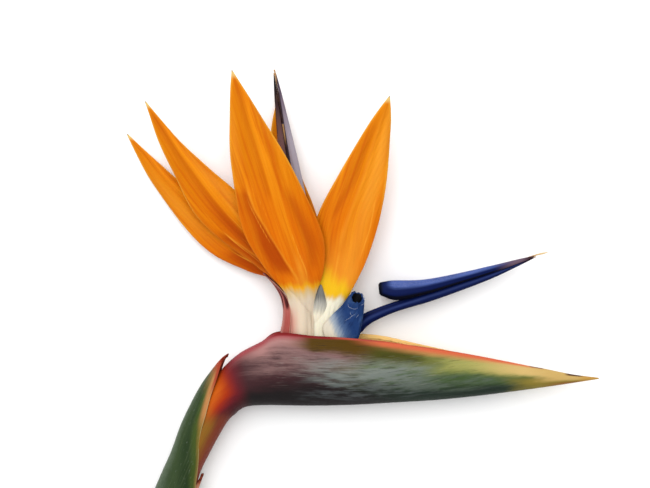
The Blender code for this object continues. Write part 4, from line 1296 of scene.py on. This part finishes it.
def add_stub():
    """Flower 1's short blue petal: a stub with an open, ragged mouth that faces up."""
    values, _ = even_rows(STUB, 90, lambda t: t[:, 0:3])
    angle = np.linspace(0, 2 * math.pi, 72, endpoint=False)[None, :]
    v = np.linspace(0, 1, len(values))[:, None]
    run = unit(values[-1, 0:3] - values[-9, 0:3])
    slant = -1.5 - 2.4 * np.sin(angle)
    ragged = 0.30 * np.sin(5 * angle + 1) + 0.22 * np.sin(11 * angle) + 0.12 * np.sin(23 * angle + 2)

    def ring(centre, half_width, half_depth, push):
        return (centre[:, None] + UP * (half_depth * np.sin(angle))[..., None]
                + STUB_ACROSS * (half_width * np.cos(angle))[..., None] + run * push[..., None])

    creased = 1 + 0.035 * np.cos(9 * angle + 3 * v) + 0.02 * np.cos(17 * angle - 5 * v)
    outer = ring(values[:, 0:3], values[:, 3:4] * creased, values[:, 4:5] * creased,
                 slant * v ** 5 + ragged * v ** 12)
    t = np.linspace(0.02, 1, 40)[:, None]
    narrow = 1 - 0.62 * t
    inner = ring(values[-1:, 0:3] - run * STUB_HOLLOW * t,
                 (values[-1, 3] - STUB_LIP[0]) * narrow + 0 * angle,
                 (values[-1, 4] - STUB_LIP[1]) * narrow + 0 * angle,
                 slant * (1 - t) ** 2 + ragged * (1 - t) ** 8)
    rings = np.concatenate([outer, inner])
    fade = (rings[..., 0] - 6.6) * 0.8 + (rings[..., 1] - 3.7) * 0.3
    torn = np.clip(np.cos(angle + 0.8), 0.5, 1)
    rim = np.concatenate([np.clip((v - 0.975) / 0.02, 0, 1) * torn, 0.2 + 0 * t + 0 * angle])
    # painted shade that darkens the hollow inward from its lip
    painted_hole_shade = np.concatenate([0 * v + 0 * angle, np.clip((t - 0.03) / 0.06, 0, 1) + 0 * angle])
    finish = stub_finish()
    mesh = tube_mesh("flower_1_nectary_skin", rings, finish, shade=painted_hole_shade, gleam=rim, edge=fade)
    add_piece("flower_1_nectary_skin", mesh, "blue_petal", "flower_1_nectary")
    add_fibres(outer)


# Torn fibres on the stub: rows of (share of its length, degrees round it)
FIBRES = (
    ((0.50, 96), (0.56, 86), (0.62, 78), (0.69, 72)),
    ((0.61, 79), (0.65, 90), (0.68, 96)),
    ((0.62, 62), (0.66, 56), (0.70, 54)),
    ((0.84, 134), (0.79, 118), (0.77, 100), (0.79, 80), (0.84, 64)),
    ((1.0, 236), (1.0, 262), (1.0, 288), (1.0, 312), (1.0, 338), (1.0, 2)),
    ((1.0, 300), (0.97, 318), (0.96, 340), (0.94, 356)),
    ((0.98, 20), (0.94, 30), (0.92, 44)),
)


def add_fibres(outer):
    finish = Finish("fibre", colour(206, 212, 226), 0.6, 0.15)
    paint = finish.layer
    paint(colour(140, 156, 190), finish.noise(3.0, 0.8, 2.0))
    material = finish.done()
    rows, columns = outer.shape[:2]
    for number, path in enumerate(FIBRES, 1):
        line = []
        for share, degrees in path:
            point = outer[round(share * (rows - 1)), round(degrees / 360 * columns) % columns]
            line.append((*(point + UP * 0.04), 0.06 if 0 < len(line) < len(path) - 1 else 0.02))
        mesh = tube_mesh(f"stub_fibre_{number}", rod_rings(line, 40, 8), material)
        add_piece(f"stub_fibre_{number}", mesh, "flower_base")


POINTED_PETAL = (
    (0.4, -4.0, 1.4, 3.4, -4.0, 1.2, 0.0),
    (0.2, 3.6, 2.4, 4.2, 3.6, 1.8, 0.1),
    (-0.2, 9.0, 3.6, 5.2, 8.8, 2.9, 0.3),
    (0.4, 15.0, 4.3, 6.4, 14.4, 3.6, 0.6),
    (3.6, 22.8, 5.0, 4.4, 22.6, 5.0, 0.0),
)


def pointed_finish():
    finish = Finish("pointed_petal_skin", colour(264, 254, 228), 0.52, 0.05, 0.04)
    paint, ease = finish.layer, finish.ease
    streak = finish.noise(1.0, 0.10, 3.0, 4.0)
    wander = finish.maths("ADD", finish.along, finish.lean(streak, 0.25))
    # greyer toward the tip: partly its own grey and partly painted shade where it lies deep between the
    # claws
    paint(colour(202, 198, 186), ease(wander, 0.46, 0.66))
    paint(colour(118, 117, 114), ease(wander, 0.62, 0.84), ease(streak, 0.2, 0.6, 0.7, 1.0))
    # painted shade on its left side toward the tip
    paint(colour(104, 104, 104), ease(finish.across, 0.30, 0.10),
          ease(finish.along, 0.60, 0.80, 0.0, 0.8))
    finish.rise(streak, 0.12)
    return finish.done()


def add_pointed_petal():
    """Flower 2's short petal: a pointed strip at the foot of the sepals."""
    crease = (("groove", 0.15, 0.6, ((0.5, 0.5), (0.95, 0.5))),)
    add_sepal("flower_2_nectary", POINTED_PETAL, pointed_finish(), crease, seed=7.0, columns=36,
              rows=80)


# ---------------------------------------------------------------- stalk, ovaries and buds

UPPER_STEM = 33.0
LOWER_STEM = 100.0
CUT_RINGS = ((0.97, -0.15), (0.90, 0.10), (0.78, 0.35), (0.60, 0.5), (0.40, 0.6), (0.20, 0.65))


def stalk_finish():
    finish = Finish("stalk_skin", colour(112, 128, 62), 0.5, 0.18, 0.02)
    paint, ease = finish.layer, finish.ease
    streak = finish.noise(1.4, 0.03, 3.0, 4.0)
    patch = finish.noise(0.2, 0.03, 6.0)
    cut = ease(finish.side, 0.4, 0.6)
    dots = finish.noise(1.5, 1.5, 9.0, 1.0, 0.4)
    fine = finish.noise(3.4, 3.4, 12.0, 2.0)
    paint(colour(78, 98, 46), ease(streak, 0.44, 0.66, 0.0, 0.85))
    paint(colour(160, 152, 78), ease(patch, 0.5, 0.7, 0.0, 0.6))
    paint(colour(206, 204, 148), cut)
    paint(colour(122, 124, 66), cut, ease(dots, 0.56, 0.64))
    paint(colour(168, 142, 88), cut, ease(fine, 0.5, 0.7, 0.0, 0.7))
    paint(colour(134, 110, 62), cut, ease(finish.number("edge"), 0.86, 0.97))
    finish.rise(streak, 0.2)
    finish.rise(finish.both(cut, dots), 0.3)
    return finish.done()


def add_stalk():
    end = STEM_TOP + STEM_RUN * STEM_LENGTH
    lower = STEM_TOP + STEM_RUN * LOWER_STEM
    upper = STEM_TOP + STEM_RUN * UPPER_STEM
    table = ((*end, 6.5), (*lower, 6.5), (*upper, 6.2), (-64.9, -78.1, -0.65, 4.8),
             (-54.6, -56.4, 0, 5.4), (-45.6, -37.0, 0, 5.5), (-40.4, -29.8, 0, 5.8),
             (-35.2, -24.4, 0, 6.4), (-29.4, -20.4, 0, 6.6), (-21.0, -19.4, 0, 6.2),
             (-8.0, -20.8, 0, 4.8), (4.0, -22.2, 0, 2.8))
    rings = rod_rings(table, 190, 72, ribs=0.010, rib_count=18)
    centre = rings[0].mean(axis=0)
    into = unit(rings[1].mean(axis=0) - centre)
    cap = [centre + (rings[0] - centre) * share + into * depth for share, depth in CUT_RINGS]
    part = np.concatenate([np.ones(len(cap)), np.zeros(len(rings))])[:, None]
    share = np.concatenate([[row[0] for row in CUT_RINGS][::-1], np.ones(len(rings))])[:, None]
    mesh = tube_mesh("peduncle_skin", np.concatenate([np.array(cap[::-1]), rings]), stalk_finish(),
                     part=part, edge=share)
    add_piece("peduncle_skin", mesh, "stalk", "peduncle")


def pod_finish(name, base, tip):
    finish = Finish(name, base, 0.5, 0.18, 0.04)
    paint, ease = finish.layer, finish.ease
    streak = finish.noise(1.4, 0.06, 3.0, 4.0)
    paint(tip, ease(finish.along, 0.35, 0.8), ease(streak, 0.2, 0.6, 0.6, 1.0))
    paint(colour(176, 172, 120), ease(streak, 0.5, 0.72, 0.0, 0.6))
    finish.rise(streak, 0.2)
    return finish.done()


def add_pods():
    """The ovaries at the flowers' feet and the young buds, which the spathe hides."""
    ovary = pod_finish("ovary_skin", colour(216, 208, 158), colour(238, 226, 190))
    bud = pod_finish("bud_skin", colour(226, 214, 164), colour(238, 148, 50))
    pods = (
        ("flower_1_ovary", ovary, ((0.5, -17.6, 0.6, 2.6), (1.6, -12, 0.8, 3.4), (2.2, -5.4, 1.0, 2.4))),
        ("flower_2_ovary", ovary, ((-12.0, -14.1, -0.6, 2.4), (-9.6, -9, -0.6, 3.2),
                                   (-8.0, -5.2, -0.6, 2.6))),
        ("flower_3_bud", bud, ((4.8, -22.4, 0, 1.8), (22, -21, 0, 4.2), (40, -19.6, 0, 3.8),
                               (62, -18.8, 0, 0.6))),
        ("flower_4_bud", bud, ((8.0, -16.4, -3.0, 1.6), (20, -13.6, -3.4, 3.2),
                               (36, -12.8, -3.4, 2.8), (50, -13.0, -3.0, 0.5))),
    )
    for name, finish, table in pods:
        mesh = tube_mesh(name + "_skin", rod_rings(table, 90, 48, ribs=0.06, rib_count=3), finish)
        add_piece(name + "_skin", mesh, "flower_base", name)


# ---------------------------------------------------------------- scene

# Name, place, size and power of the soft lights, the place they point at, the half length of
# the floor and the strength of the light all round
LIGHTS = (
    ("overhead", (-0.15, 0.40, 1.25), 1.0, 9.5),
    ("key", (-0.35, 0.9, 0.6), 0.7, 3.5),
)
LIT_POINT = (0.0, 0.03, 0.0)
FLOOR_HALF = 3.0
SKY_STRENGTH = 0.85
PALE = (0.95, 0.95, 0.95, 1.0)
WHITE = (1.0, 1.0, 1.0, 1.0)


def point_at(item, target):
    direction = Vector(target) - item.location
    item.rotation_euler = direction.to_track_quat("-Z", "Y").to_euler()


def add_light(name, place, size, power):
    data = bpy.data.lights.new(name, "AREA")
    data.size = size
    data.energy = power
    light = bpy.data.objects.new(name, data)
    light.location = place
    bpy.context.scene.collection.objects.link(light)
    point_at(light, LIT_POINT)


def add_floor():
    material = bpy.data.materials.new("pale_floor")
    material.use_nodes = True
    shader = material.node_tree.nodes["Principled BSDF"]
    shader.inputs["Base Color"].default_value = PALE
    shader.inputs["Roughness"].default_value = 0.9
    shader.inputs["Specular IOR Level"].default_value = 0.1
    height = CAD_BOX[0][2]
    corners = [(x * FLOOR_HALF, y * FLOOR_HALF, height)
               for x, y in ((-1, -1), (1, -1), (1, 1), (-1, 1))]
    mesh = bpy.data.meshes.new("floor")
    mesh.from_pydata(corners, [], [(0, 1, 2, 3)])
    mesh.materials.append(material)
    floor = bpy.data.objects.new("floor", mesh)
    bpy.context.scene.collection.objects.link(floor)


def set_the_scene():
    scene = bpy.context.scene
    scene.view_settings.view_transform = "Standard"
    world = bpy.data.worlds.new("studio")
    world.use_nodes = True
    background = world.node_tree.nodes["Background"]
    background.inputs["Color"].default_value = WHITE
    background.inputs["Strength"].default_value = SKY_STRENGTH
    scene.world = world
    for light in LIGHTS:
        add_light(*light)
    add_floor()

    data = bpy.data.cameras.new("camera")
    data.lens = CAMERA_LENS
    data.sensor_width = CAMERA_SENSOR
    data.clip_start = 0.01
    camera = bpy.data.objects.new("camera", data)
    camera.location = Vector((*CAMERA_OVER, CAMERA_HEIGHT) + THROAT) * MM
    scene.collection.objects.link(camera)
    scene.camera = camera


def main():
    add_stalk()
    add_pods()
    add_spathe()
    add_sheaths()
    add_inner_bract()
    add_sepals()
    add_arrows()
    add_stub()
    add_pointed_petal()
    set_the_scene()
    bpy.context.view_layer.update()


main()
